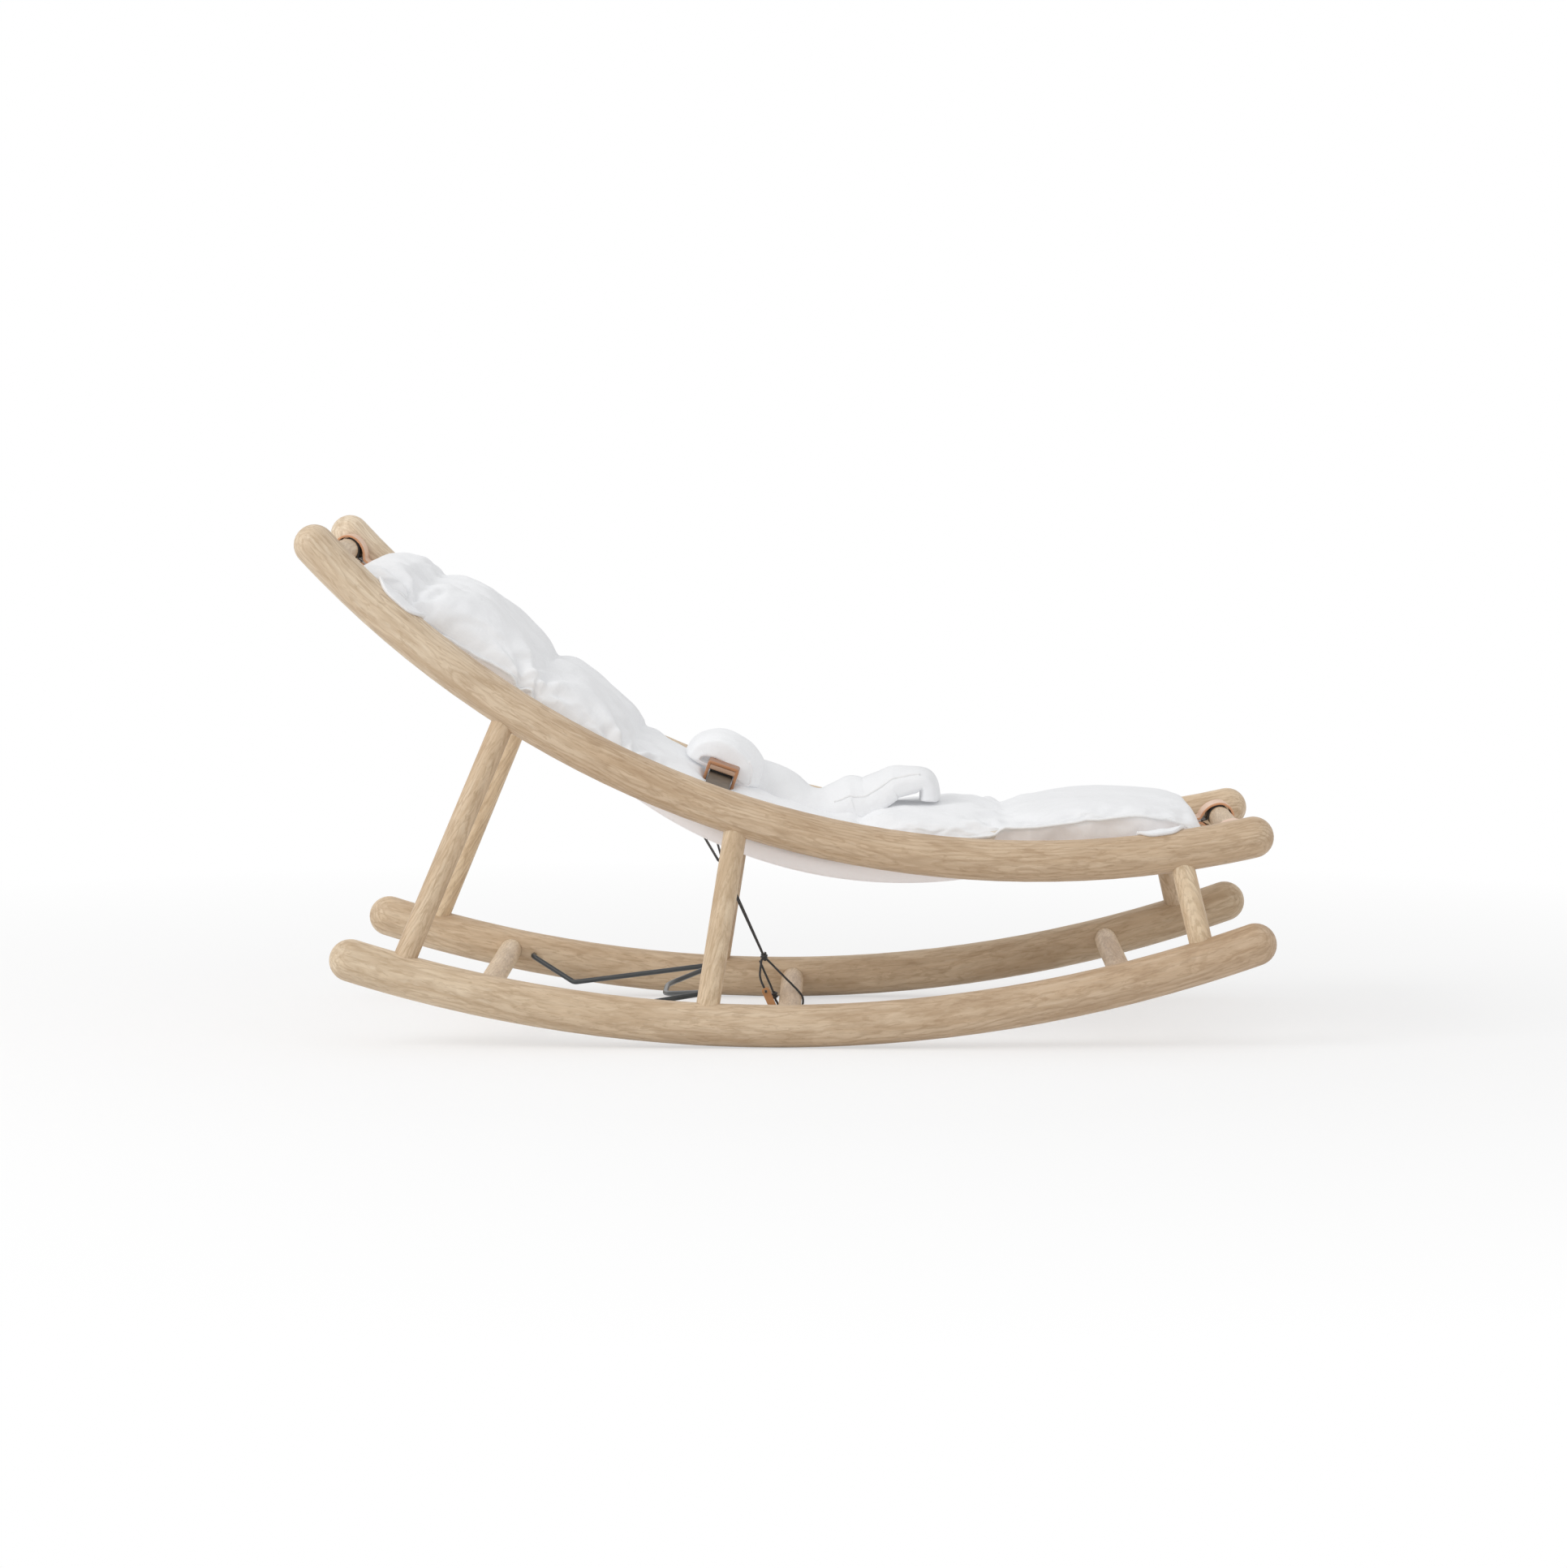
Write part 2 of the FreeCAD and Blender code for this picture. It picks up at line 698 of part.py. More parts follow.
def keeper_heading():
    return sling_line.frame_at(cushion_end_reach + keeper_share * cushion_length())[1] + keeper_turn


def rounded_box(middle, angle, lean, width, height, depth, corner, low=None):
    # stands from low, or with its middle in the given place
    low = -height / 2 if low is None else low
    block = Part.makeBox(width, depth, height, vec(-width / 2, -depth / 2, low))
    if corner:
        long_edges = [edge for edge in block.Edges
                      if abs(edge.tangentAt(edge.FirstParameter).y) > 0.5]
        block = block.makeFillet(corner, long_edges)
    block.rotate(vec(0, 0, 0), vec(1, 0, 0), math.degrees(lean))
    block.rotate(vec(0, 0, 0), across, -math.degrees(angle))
    block.translate(middle)
    return block


def keeper_block(sign, width, depth, low, high, corner=0.0):
    # a block in the keeper's place, between two heights over the keeper's bottom
    middle = above_sling(keeper_share, keeper_rise(), sign * keeper_side())
    return rounded_box(middle, keeper_heading(), -sign * keeper_lean(), width, high - low, depth,
                       corner, low - keeper_height / 2)


def keeper(sign):
    # a leather ring with a deep brow over the belt
    outer = keeper_block(sign, keeper_width, keeper_depth, 0, keeper_height, keeper_corner)
    bore = keeper_block(sign, keeper_width - 2 * keeper_wall, keeper_depth + overrun,
                        keeper_wall, keeper_height - keeper_brow)
    return outer.cut(bore)


def belt(sign):
    # from the hood's end, through the keeper, and down to its end at the cushion's side
    bore_rise = (keeper_wall - keeper_brow) / 2
    slope = math.tan(keeper_lean())
    shoulder = cushion_floor() + (cushion_crown(keeper_share) - cushion_floor()) * cushion_side_share
    outer_side = cushion_half_width + belt_clearance + belt_thickness / 2
    straight_end = keeper_inner_edge + keeper_depth + belt_bend
    places = [(side, bore_rise - (side - keeper_side()) * slope)
              for side in (hood_half_width + sewn_gap, straight_end)]
    places += [(outer_side, shoulder + belt_clearance + belt_bend - keeper_rise()),
               (outer_side, belt_end_rise - keeper_rise())]
    # drawn flat in XZ, the side as x and the rise over the keeper's middle as z, then stood up
    points = [vec(side, 0, rise) for side, rise in places]
    heading, runs = runs_through(points, [belt_bend, belt_bend])
    band = strip(points[0], heading, runs, belt_thickness, -belt_width / 2, belt_width)
    angle = keeper_heading()
    turn = FreeCAD.Rotation(across * sign, toward(angle) * -sign, left_of(angle), "XZY")
    band.Placement = FreeCAD.Placement(above_sling(keeper_share, keeper_rise()), turn)
    return band


def corner_tie(x, sign):
    # a cloth band that lies over the rail's top and its inner side
    centre = vec(rail_low_x, sign * rail_side, rail_low_height + rail_bend_radius)
    turn = tie_length / rail_bend_radius
    start_angle = math.asin((x - rail_low_x) / rail_bend_radius) - turn / 2
    middle = centre + toward(start_angle - math.pi / 2) * rail_bend_radius
    upward = left_of(start_angle)
    inward = across * -sign
    angles = (tie_outer_angle, (tie_outer_angle + tie_inner_angle) / 2, tie_inner_angle)
    rims = []
    for radius in (rail_radius + tie_fit, rail_radius + tie_fit + tie_thickness):
        rims.append([middle + (upward * math.cos(angle) + inward * math.sin(angle)) * radius
                     for angle in angles])
    inner, outer = rims
    edges = [Part.Arc(*inner), Part.LineSegment(inner[2], outer[2]),
             Part.Arc(*reversed(outer)), Part.LineSegment(outer[0], inner[0])]
    wire = Part.Wire([edge.toShape() for edge in edges])
    return Part.Face(wire).revolve(centre, across * -1, math.degrees(turn))


def label():
    # a blank cloth tab that hangs from the near side seam and follows the side's curve
    height_share, width_share = cushion_shares_at(label_share)
    shoulder = cushion_floor() + cushion_height * height_share * cushion_side_share
    waist = (cushion_floor() + shoulder) / 2
    rise = shoulder - label_drop / 2
    inset = cushion_side_draw * ((rise - waist) / (shoulder - waist)) ** 2
    lean = math.atan(2 * inset / (rise - waist))
    side = inset - cushion_half_width * width_share - label_fit - label_thickness / 2
    angle = sling_line.frame_at(cushion_end_reach + label_share * cushion_length())[1]
    return rounded_box(above_sling(label_share, rise, side), angle, -lean,
                       label_width, label_drop, label_thickness, 0)


def anchor_place():
    # under the sling, over the seat cord
    heading = -math.asin((sling_low_x - anchor_x) / sling_bend_radius)
    distance = sling_line.head_run + sling_bend_radius * (sling_line.head_slope + heading)
    place = sling_line.frame_at(distance)[0]
    return place - left_of(heading) * (sling_thickness / 2 + sewn_gap), heading


def anchor_corners():
    # the two sewn ends and the corner that the fold rounds off
    top, heading = anchor_place()
    ends = [top + toward(heading) * spread - left_of(heading) * (anchor_thickness / 3)
            for spread in (-anchor_arm_spread, anchor_arm_spread)]
    return ends[0], top + vec(anchor_lean_run, 0, -anchor_drop), ends[1]


def anchor_fold():
    # the fold's bend radius, and its middle, where the cord passes through
    first, corner, last = anchor_corners()
    bend = cord_diameter / 2 + cord_fit + anchor_thickness / 2
    arms = [(end - corner).normalize() for end in (first, last)]
    half_opening = arms[0].getAngle(arms[1]) / 2
    return bend, corner + (arms[0] + arms[1]).normalize() * (bend / math.sin(half_opening))


def anchor():
    # a webbing strip sewn under the sling at both ends, folded to a narrow V
    corners_in_order = anchor_corners()
    heading, runs = runs_through(corners_in_order, [anchor_fold()[0]])
    return strip(corners_in_order[0], heading, runs, anchor_thickness,
                 -anchor_width / 2, anchor_width)


def seat_cord(extra=0.0):
    # up from the knot beside the anchor, through its fold, and down the other side
    fold = anchor_fold()[1]
    rise = (fold - upper_knot).normalize()
    points = [upper_knot + across * cord_diameter + rise * (knot_diameter / 3),
              fold + across * cord_side - rise * cord_side,
              fold + across * cord_side,
              fold - across * cord_side,
              fold - across * cord_side - rise * cord_side,
              upper_knot - across * cord_diameter + rise * (knot_diameter / 3)]
    bends = [cord_side, cord_turn_bend, cord_turn_bend, cord_side]
    return tube_along(points, bends, cord_diameter + extra)


def lashing(extra=0.0):
    # down from the upper knot, round the middle dowel, and back up through the lower knot
    dowel = rocker_point(middle_dowel_x, upper_knot.y)
    wrap = dowel_radius + sewn_gap + cord_diameter / 2
    path_start = upper_knot + vec(cord_diameter / 2, 0, -cord_diameter / 2)
    first, arrive = tangent_touch(path_start, dowel, wrap, 1)
    last, leave = tangent_touch(lower_knot, dowel, wrap, -1)
    sweep = (arrive - leave) % (2 * math.pi)
    middle = dowel + toward(arrive - sweep / 2) * wrap
    quarter = dowel + toward(arrive - sweep / 4) * wrap
    three = dowel + toward(arrive - sweep * 3 / 4) * wrap
    climb_end = upper_knot + vec(-lashing_end_offset, 0, -lashing_end_offset)
    knee = (lower_knot - last).normalize()
    climb = (climb_end - lower_knot).normalize()
    half_turn = knee.getAngle(climb) / 2
    setback = min(cord_side * math.tan(half_turn), (lower_knot - last).Length / 2)
    bend = setback / math.tan(half_turn)
    bend_start = lower_knot - knee * setback
    bend_end = lower_knot + climb * setback
    top = lower_knot + (climb - knee).normalize() * (bend / math.cos(half_turn) - bend)
    edges = [Part.LineSegment(path_start, first), Part.Arc(first, quarter, middle),
             Part.Arc(middle, three, last), Part.LineSegment(last, bend_start),
             Part.Arc(bend_start, top, bend_end), Part.LineSegment(bend_end, climb_end)]
    path = Part.Wire([edge.toShape() for edge in edges])
    heading = (first - path_start).normalize()
    section = Part.Wire(Part.makeCircle((cord_diameter + extra) / 2, path_start, heading))
    return path.makePipeShell([section], True, False)


def tangent_touch(point, centre, radius, over):
    # where a line from the point touches a circle in XZ, and that place's angle on it
    away = point - centre
    lean = math.atan2(away.z, away.x)
    angle = lean - over * math.acos(radius / away.Length)
    return centre + toward(angle) * radius, angle


def cord_tail(extra=0.0):
    # a slack strand beside the lashing that carries the pull tag on its end
    start = upper_knot + vec(-cord_diameter, -cord_diameter, -cord_diameter)
    end = vec(tail_turn.x, tail_end_y, tail_turn.z)
    return tube_along([start, tail_bulge, tail_turn, end], [knot_diameter, tail_bend],
                      cord_diameter + extra)


def knot(middle, strands):
    # a tied lump with the strands' own channels through it
    return Part.makeSphere(knot_diameter / 2, middle).cut(strands)


def pull_tag():
    plate = Part.makeBox(tag_width, tag_thickness, tag_length,
                         vec(-tag_width / 2, -tag_thickness / 2, tag_hole_from_end - tag_length))
    upright_edges = [edge for edge in plate.Edges
                     if abs(edge.tangentAt(edge.FirstParameter).y) > 0.5]
    plate = plate.makeFillet(tag_width / 3, upright_edges)
    hole = Part.makeCylinder(cord_diameter / 2 + tag_hole_clearance, tag_thickness + overrun,
                             vec(0, -(tag_thickness + overrun) / 2, 0), across)
    plate = plate.cut(hole)
    plate.rotate(vec(0, 0, 0), across, -math.degrees(tag_lean))
    plate.translate(vec(tail_turn.x, tag_y, tail_turn.z))
    return plate


def build():
    nodes = {}
    for name, sign in sides:
        nodes["rocker_" + name] = rocker(sign)
        nodes["rail_" + name] = rail(sign)
        for place, rocker_x, rail_x in uprights:
            nodes["upright_%s_%s" % (place, name)] = upright(rocker_x, rail_x, sign)
        for place, dowel, pull, over, middle in corners:
            side = sign * middle
            nodes["leather_loop_%s_%s" % (place, name)] = leather_loop(dowel, pull, over, side)
            nodes["steel_hook_%s_%s" % (place, name)] = steel_hook(dowel, pull, over, side)
            nodes["webbing_tab_%s_%s" % (place, name)] = webbing_tab(dowel, pull, side)
        for place, x in (("head", tie_head_x), ("foot", tie_foot_x)):
            nodes["corner_tie_%s_%s" % (place, name)] = corner_tie(x, sign)
        nodes["harness_keeper_" + name] = keeper(sign)
        nodes["harness_belt_" + name] = belt(sign)
    for place, x in low_dowels:
        nodes["cross_dowel_" + place] = cross_dowel(rocker_point(x), rocker_side)
    for place, x, sink in top_dowels:
        nodes["top_dowel_" + place] = cross_dowel(top_dowel_point(x, sink), rail_side)
    nodes["sling"] = sling()
    nodes["cushion"] = cushion()
    nodes["harness_strap"] = harness()
    nodes["blank_label"] = label()
    nodes["wire_stand"] = stand()
    nodes["cord_anchor"] = anchor()
    nodes["seat_cord"] = seat_cord()
    nodes["cord_lashing"] = lashing()
    nodes["cord_tail"] = cord_tail()
    nodes["cord_knot_upper"] = knot(upper_knot, [seat_cord(cord_fit), lashing(cord_fit),
                                                 cord_tail(cord_fit)])
    nodes["cord_knot_lower"] = knot(lower_knot, [lashing(cord_fit)])
    nodes["pull_tag"] = pull_tag()
    return nodes


os.makedirs("parts", exist_ok=True)
for node, shape in build().items():
    print("%-28s solids %d valid %s volume %.1f" % (node, len(shape.Solids), shape.isValid(), shape.Volume))
    shape.exportStep("parts/%s.step" % node)
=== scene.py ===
# A low child's rocker: bent round oak poles, a cloth sling with a quilted cushion, a padded
# harness, and a wire stand that swings down from the rear of the rockers.
import math
import bpy
import numpy as np
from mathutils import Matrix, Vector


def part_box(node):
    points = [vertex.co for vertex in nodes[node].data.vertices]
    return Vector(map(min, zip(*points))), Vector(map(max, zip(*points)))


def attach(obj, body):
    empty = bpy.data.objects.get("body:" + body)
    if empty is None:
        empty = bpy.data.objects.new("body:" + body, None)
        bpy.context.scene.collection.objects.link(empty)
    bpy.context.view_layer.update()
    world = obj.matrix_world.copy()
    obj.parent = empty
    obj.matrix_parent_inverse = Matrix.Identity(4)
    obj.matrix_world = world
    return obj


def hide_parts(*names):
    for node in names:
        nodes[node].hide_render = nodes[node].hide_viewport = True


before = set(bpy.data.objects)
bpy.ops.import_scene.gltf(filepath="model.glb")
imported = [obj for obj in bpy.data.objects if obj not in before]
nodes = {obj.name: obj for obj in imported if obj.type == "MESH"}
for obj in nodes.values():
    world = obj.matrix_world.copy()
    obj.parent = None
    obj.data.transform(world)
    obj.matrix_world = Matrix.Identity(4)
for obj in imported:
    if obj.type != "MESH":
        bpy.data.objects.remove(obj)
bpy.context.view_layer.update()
frameBody = "frame_and_seat"
print("frame loaded,", len(nodes), "nodes")

bothSides = (("right", -1), ("left", 1))
alongX, sideways, upZ = np.eye(3)


# a new piece, lamp or camera in the scene
def addObject(name, data):
    thing = bpy.data.objects.new(name, data)
    bpy.context.scene.collection.objects.link(thing)
    return thing


# camera
photoView = {"place": (0.0649, -4.8089, 0.6197), "turn": 0.816, "tip": -4.612,
             "focalPixels": 6115.0, "imageWidth": 1931.0, "sensor": 36.0}


def makeCamera():
    lens = bpy.data.cameras.new("photoCamera")
    lens.sensor_fit = "HORIZONTAL"
    lens.sensor_width = photoView["sensor"]
    lens.lens = photoView["focalPixels"] / photoView["imageWidth"] * photoView["sensor"]
    eye = addObject("photoCamera", lens)
    eye.location = photoView["place"]
    eye.rotation_euler = (math.radians(90 + photoView["tip"]), 0, math.radians(photoView["turn"]))
    bpy.context.scene.camera = eye


makeCamera()
print("camera placed")


# surfaces
# rows x columns of points into one skin of quads. around joins the last column to the first,
# zipped closes both end rows by joining each column to its mirror. UV is in metres.
def skin(name, points, around=True, zipped=True, smooth=True, extra=None):
    points = np.asarray(points, float)
    rows, columns = points.shape[:2]
    index = np.arange(rows * columns).reshape(rows, columns)
    wide = np.concatenate([index, index[:, :1]], axis=1) if around else index
    quads = np.stack([wide[:-1, :-1], wide[:-1, 1:], wide[1:, 1:], wide[1:, :-1]], -1).reshape(-1, 4)
    if zipped:
        half = np.arange(columns // 2 - 1)
        for row, flip in ((0, False), (rows - 1, True)):
            cap = np.stack([index[row, half], index[row, columns - 1 - half],
                            index[row, columns - 2 - half], index[row, half + 1]], -1)
            quads = np.concatenate([quads, cap[:, ::-1] if flip else cap])
    flat = points.reshape(-1, 3)
    if around and zipped and signedVolume(flat, quads) < 0:
        quads = quads[:, ::-1]
    mesh = bpy.data.meshes.new(name)
    mesh.from_pydata(flat, [], quads.tolist())
    mesh.update()
    uvLayer = mesh.uv_layers.new(name="cloth")
    acrossSteps = np.linalg.norm(np.diff(points, axis=1, append=points[:, :1]), axis=2).mean(axis=0)
    alongSteps = np.linalg.norm(np.diff(points, axis=0), axis=2).mean(axis=1)
    u = np.tile(np.concatenate([[0], np.cumsum(acrossSteps)])[:columns], (rows, 1)).ravel()
    v = np.repeat(np.concatenate([[0], np.cumsum(alongSteps)]), columns)
    corners = np.empty(len(mesh.loops), np.int32)
    mesh.loops.foreach_get("vertex_index", corners)
    uvLayer.data.foreach_set("uv", np.stack([u[corners], v[corners]], -1).ravel().astype(np.float32))
    for label, values in (extra or {}).items():
        layer = mesh.attributes.new(label, "FLOAT", "POINT")
        layer.data.foreach_set("value", np.asarray(values, np.float32).ravel())
    mesh.polygons.foreach_set("use_smooth", np.full(len(mesh.polygons), smooth))
    return addObject(name, mesh)


# six times the volume inside a closed skin, from its quads' two triangles each
def signedVolume(flat, quads):
    a, b, c, d = (flat[quads[:, k]] for k in range(4))
    return (np.einsum("ij,ij->i", a, np.cross(b, c)) + np.einsum("ij,ij->i", a, np.cross(c, d))).sum()


# unit vectors
def unit(vectors):
    return vectors / np.maximum(np.linalg.norm(vectors, axis=-1, keepdims=True), 1e-12)


# a tube: at each path point a circle of the radius, square to the path, set out from the
# path's direction and a fixed side direction
def tube(path, radius, sides=10, reference=(0, 1, 0)):
    path = np.asarray(path, float)
    heading = unit(np.gradient(path, axis=0))
    first = unit(np.cross(heading, np.asarray(reference, float)))
    second = np.cross(heading, first)
    turn = np.linspace(0, 2 * np.pi, sides, endpoint=False)
    ring = np.asarray(radius, float).reshape(-1, 1, 1)
    return (path[:, None] + ring * (first[:, None] * np.cos(turn)[None, :, None]
                                    + second[:, None] * np.sin(turn)[None, :, None]))


# places between given ones: even steps along a smooth curve through the points, each
# stretch a cubic whose end slopes come from the neighbours
def through(points, count, closed=False):
    points = np.asarray(points, float)
    if closed:
        padded = np.concatenate([points[-1:], points, points[:2]])
    else:
        padded = np.concatenate([2 * points[:1] - points[1:2], points, 2 * points[-1:] - points[-2:-1]])
    fine = 24
    stretch = np.arange(len(padded) - 3)
    t = np.linspace(0, 1, fine, endpoint=False)[None, :, None]
    p0, p1, p2, p3 = (padded[stretch + k][:, None] for k in range(4))
    curve = 0.5 * (2 * p1 + (p2 - p0) * t + (2 * p0 - 5 * p1 + 4 * p2 - p3) * t ** 2
                   + (3 * p1 - p0 - 3 * p2 + p3) * t ** 3)
    curve = np.concatenate([curve.reshape(-1, points.shape[1]), padded[-2:-1]])
    run = np.concatenate([[0], np.cumsum(np.linalg.norm(np.diff(curve, axis=0), axis=1))])
    wanted = np.linspace(0, run[-1], count, endpoint=not closed)
    return np.stack([np.interp(wanted, run, curve[:, k]) for k in range(points.shape[1])], -1)


# soft noise from -1 to 1: random values on a lattice, blended smoothly between neighbours
def ripple(u, v, seed):
    cells = 64
    values = np.random.default_rng(seed).uniform(-1, 1, (cells, cells))
    u, v = np.broadcast_arrays(u, v)
    iu, iv = np.floor(u).astype(int), np.floor(v).astype(int)
    fu, fv = u - iu, v - iv
    fu, fv = fu * fu * (3 - 2 * fu), fv * fv * (3 - 2 * fv)
    near, far = iu % cells, (iu + 1) % cells
    low, high = (values[near, column % cells] * (1 - fu) + values[far, column % cells] * fu
                 for column in (iv, iv + 1))
    return low * (1 - fv) + high * fv


# a soft hill from 0 to 1: e to the power of less the distance from its middle over its width,
# raised to the power
def hill(place, middle, width, power=2):
    return np.exp(-((place - middle) / width) ** power)


# a value's size raised to the power, with its sign kept: below 1 it squares a circle off
def squareOff(value, power):
    return np.sign(value) * np.abs(value) ** power


# narrow creases: one less the size of a sine, to the fourth power
def crease(turn):
    return (1 - np.abs(np.sin(turn))) ** 4


# the sling's line
seatLine = {"head": (-0.43759, 0.45555), "foot": (0.42721, 0.19170),
            "bendMiddle": (0.112, 0.5885), "bend": 0.440}


# slope and length of the tangent from a dowel's centre to the round bend
def tangentFrom(dowel):
    away = np.subtract(dowel, seatLine["bendMiddle"])
    reach = math.hypot(*away)
    lean = math.atan2(abs(away[0]), -away[1])
    return lean - math.acos(seatLine["bend"] / reach), math.sqrt(reach ** 2 - seatLine["bend"] ** 2)


headSlope, headRun = tangentFrom(seatLine["head"])
footSlope, footRun = tangentFrom(seatLine["foot"])
bendRun = seatLine["bend"] * (headSlope + footSlope)
lineLength = headRun + bendRun + footRun


# heading of the line at a distance from the head dowel
def slopeAt(distance):
    return np.clip(np.asarray(distance, float) - headRun, 0, bendRun) / seatLine["bend"] - headSlope


# a place over the sling: straight, round the bend, and straight again by the distance,
# then square off the line by the lift, and sideways
def onSling(distance, lift, side):
    distance, lift, side = (np.asarray(a, float) for a in np.broadcast_arrays(distance, lift, side))
    angle = slopeAt(distance)
    straight = distance - headRun - np.clip(distance - headRun, 0, bendRun)
    x = seatLine["bendMiddle"][0] + seatLine["bend"] * np.sin(angle) + np.cos(angle) * straight
    z = seatLine["bendMiddle"][1] - seatLine["bend"] * np.cos(angle) + np.sin(angle) * straight
    return np.stack([x - np.sin(angle) * lift, side, z + np.cos(angle) * lift], -1)


# node helpers
# a socket is linked to the node's input, anything else becomes the input's own value
def feed(tree, node, feeds):
    for key, value in feeds.items():
        if isinstance(value, bpy.types.NodeSocket):
            tree.links.new(value, node.inputs[key])
        else:
            isColour = node.inputs[key].type == "RGBA"
            node.inputs[key].default_value = (*value, 1) if isColour else value


def add(tree, kind, feeds=None, **settings):
    node = tree.nodes.new("ShaderNode" + kind)
    for name, value in settings.items():
        setattr(node, name, value)
    feed(tree, node, feeds or {})
    return node


def calc(tree, operation, *values):
    return add(tree, "Math", dict(enumerate(values)), operation=operation).outputs[0]


def times(tree, first, second):
    return calc(tree, "MULTIPLY", first, second)


def plus(tree, total, *others):
    for other in others:
        total = calc(tree, "ADD", total, other)
    return total


def less(tree, first, second):
    return calc(tree, "SUBTRACT", first, second)


# share of the way from low to high
def spread(tree, share, low, high):
    return calc(tree, "MULTIPLY_ADD", share, high - low, low)


def vectorCalc(tree, operation, *values):
    node = add(tree, "VectorMath", dict(enumerate(values)), operation=operation)
    return node.outputs["Value" if operation in ("DOT_PRODUCT", "LENGTH") else "Vector"]


def mixColour(tree, share, first, second, mode="MIX"):
    node = add(tree, "Mix", {0: share}, data_type="RGBA", blend_type=mode)
    feed(tree, node, {6: first, 7: second})
    return node.outputs[2]


def ramp(tree, share, stops):
    node = add(tree, "ValToRGB", {"Fac": share})
    elements = node.color_ramp.elements
    while len(elements) < len(stops):
        elements.new(0.5)
    for element, (place, value) in zip(elements, stops):
        element.position = place
        element.color = (value, value, value, 1)
    return node.outputs["Color"]


def noise(tree, vector, scale, detail=2.0, rough=0.5, distortion=0.0):
    return add(tree, "TexNoise", {"Vector": vector, "Scale": scale, "Detail": detail,
                                  "Roughness": rough, "Distortion": distortion}).outputs["Fac"]


def objectPlace(tree):
    return add(tree, "TexCoord").outputs["Object"]


# the share that a piece's own named values give
def pieceShare(tree, name):
    return add(tree, "Attribute", attribute_name=name).outputs["Fac"]


def newFinish(name):
    material = bpy.data.materials.new(name)
    material.use_nodes = True
    tree = material.node_tree
    return material, tree, tree.nodes["Principled BSDF"]


def bump(tree, height, strength, distance, **under):
    feeds = {"Height": height, "Strength": strength, "Distance": distance, **under}
    return add(tree, "Bump", feeds).outputs["Normal"]


def paint(piece, material):
    if piece.material_slots:
        piece.material_slots[0].material = material
    else:
        piece.data.materials.append(material)
    return piece


# a finished piece on the frame, with the nodes whose solids it replaces; its slot name is not used
def settle(piece, material, slotName, *replaced):
    paint(piece, material)
    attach(piece, frameBody)
    if replaced:
        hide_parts(*replaced)
    return piece


# oak
oak = {"pale": (0.740, 0.590, 0.420), "middle": (0.610, 0.445, 0.285), "deep": (0.400, 0.262, 0.145),
       "fleck": (0.74, 0.62, 0.47), "pore": (0.30, 0.20, 0.12), "roughness": (0.46, 0.62),
       "coat": 0.08, "coatRoughness": 0.45, "pith": (0.034, 0.012), "ringStep": 0.0034,
       "warp": 0.026, "warpShift": (4.1, 9.2, 2.7), "curl": 0.0065, "fray": 0.55, "cloud": 2.2,
       "poreDepth": 0.8, "ringDepth": 0.35, "poresBetween": 0.35, "relief": (0.35, 0.00012)}

# each noise in the grain: how far the seed moves it along the pole, how close it is along,
# across and up through the pole, and its detail, roughness and distortion
oakGrain = {"slow": (7.3, 2.6, 5.0, 5.0), "curl": (9.1, 15.0, 45.0, 45.0, 3.0, 0.55, 0.6),
            "frayed": (3.1, 22.0, 260.0, 260.0, 3.0, 0.6), "pores": (1.7, 95.0, 1900.0, 1900.0, 2.0, 0.55),
            "streaks": (5.7, 7.0, 150.0, 150.0, 3.0, 0.6), "flecks": (2.9, 70.0, 420.0, 180.0, 1.0),
            "flames": (4.3, 11.0, 62.0, 62.0, 4.0, 0.62, 0.9),
            "licks": (6.1, 42.0, 230.0, 230.0, 3.0, 0.6, 1.3)}

# how strongly each part of the grain shows at its values from 0 to 1
oakStops = {"early": ((0.0, 1.0), (0.10, 0.85), (0.34, 0.18), (0.80, 0.05), (1.0, 0.9)),
            "pores": ((0.0, 1.0), (0.36, 0.8), (0.50, 0.0)), "streaks": ((0.38, 0.0), (0.66, 1.0)),
            "cloud": ((0.3, 0.0), (0.7, 1.0)), "flames": ((0.44, 0.0), (0.56, 0.6), (0.66, 1.0)),
            "licks": ((0.52, 0.0), (0.60, 0.8), (0.70, 1.0)), "flecks": ((0.66, 0.0), (0.74, 1.0))}

# the parts of the grain laid over one another from the lowest up, their strengths and colours
oakLayers = (("early", 0.50, "deep"), ("streaks", 0.70, "middle"), ("cloud", 0.40, "middle"),
             ("flames", 0.50, "deep"), ("licks", 0.46, "deep"), ("flecks", 0.20, "fleck"),
             ("pores", 0.36, "pore"))

# how much paler or darker a piece of oak is than the rest, before one place along it and after
# another: the change along each rail and rocker is painted light, paler toward the head end where the light
# falls and darker toward the foot end; the far rail's paler level is partly the oak's own tone, partly
# painted light
oakToneAndPaintedLight = {"rail_right": ((1.10, 1.16, 1.24), (0.94, 0.92, 0.91), (-0.62, -0.42)),
            "rail_left": ((1.25, 1.36, 1.50), (1.12, 1.14, 1.16), (-0.62, -0.10)),
            "rocker_right": ((1.10, 1.16, 1.22), (0.88, 0.84, 0.82), (-0.46, 0.46)),
            "rocker_left": ((1.06, 1.08, 1.10), (0.90, 0.90, 0.88), (-0.46, 0.46))}
# an even level for each upright and dowel, partly the oak's own tone and partly painted light
evenToneAndPaintedLight = {"upright_rear_left": (1.22, 1.25, 1.24), "upright_middle_right": (1.10, 1.13, 1.15),
             "upright_front_right": (1.16, 1.20, 1.22), "cross_dowel_rear": (1.15, 1.20, 1.24),
             "cross_dowel_front": (1.15, 1.18, 1.22)}


def toneAndPaintedLightOf(name):
    tone = evenToneAndPaintedLight.get(name, (1, 1, 1))
    return oakToneAndPaintedLight.get(name, (tone, tone, (-1, 1)))


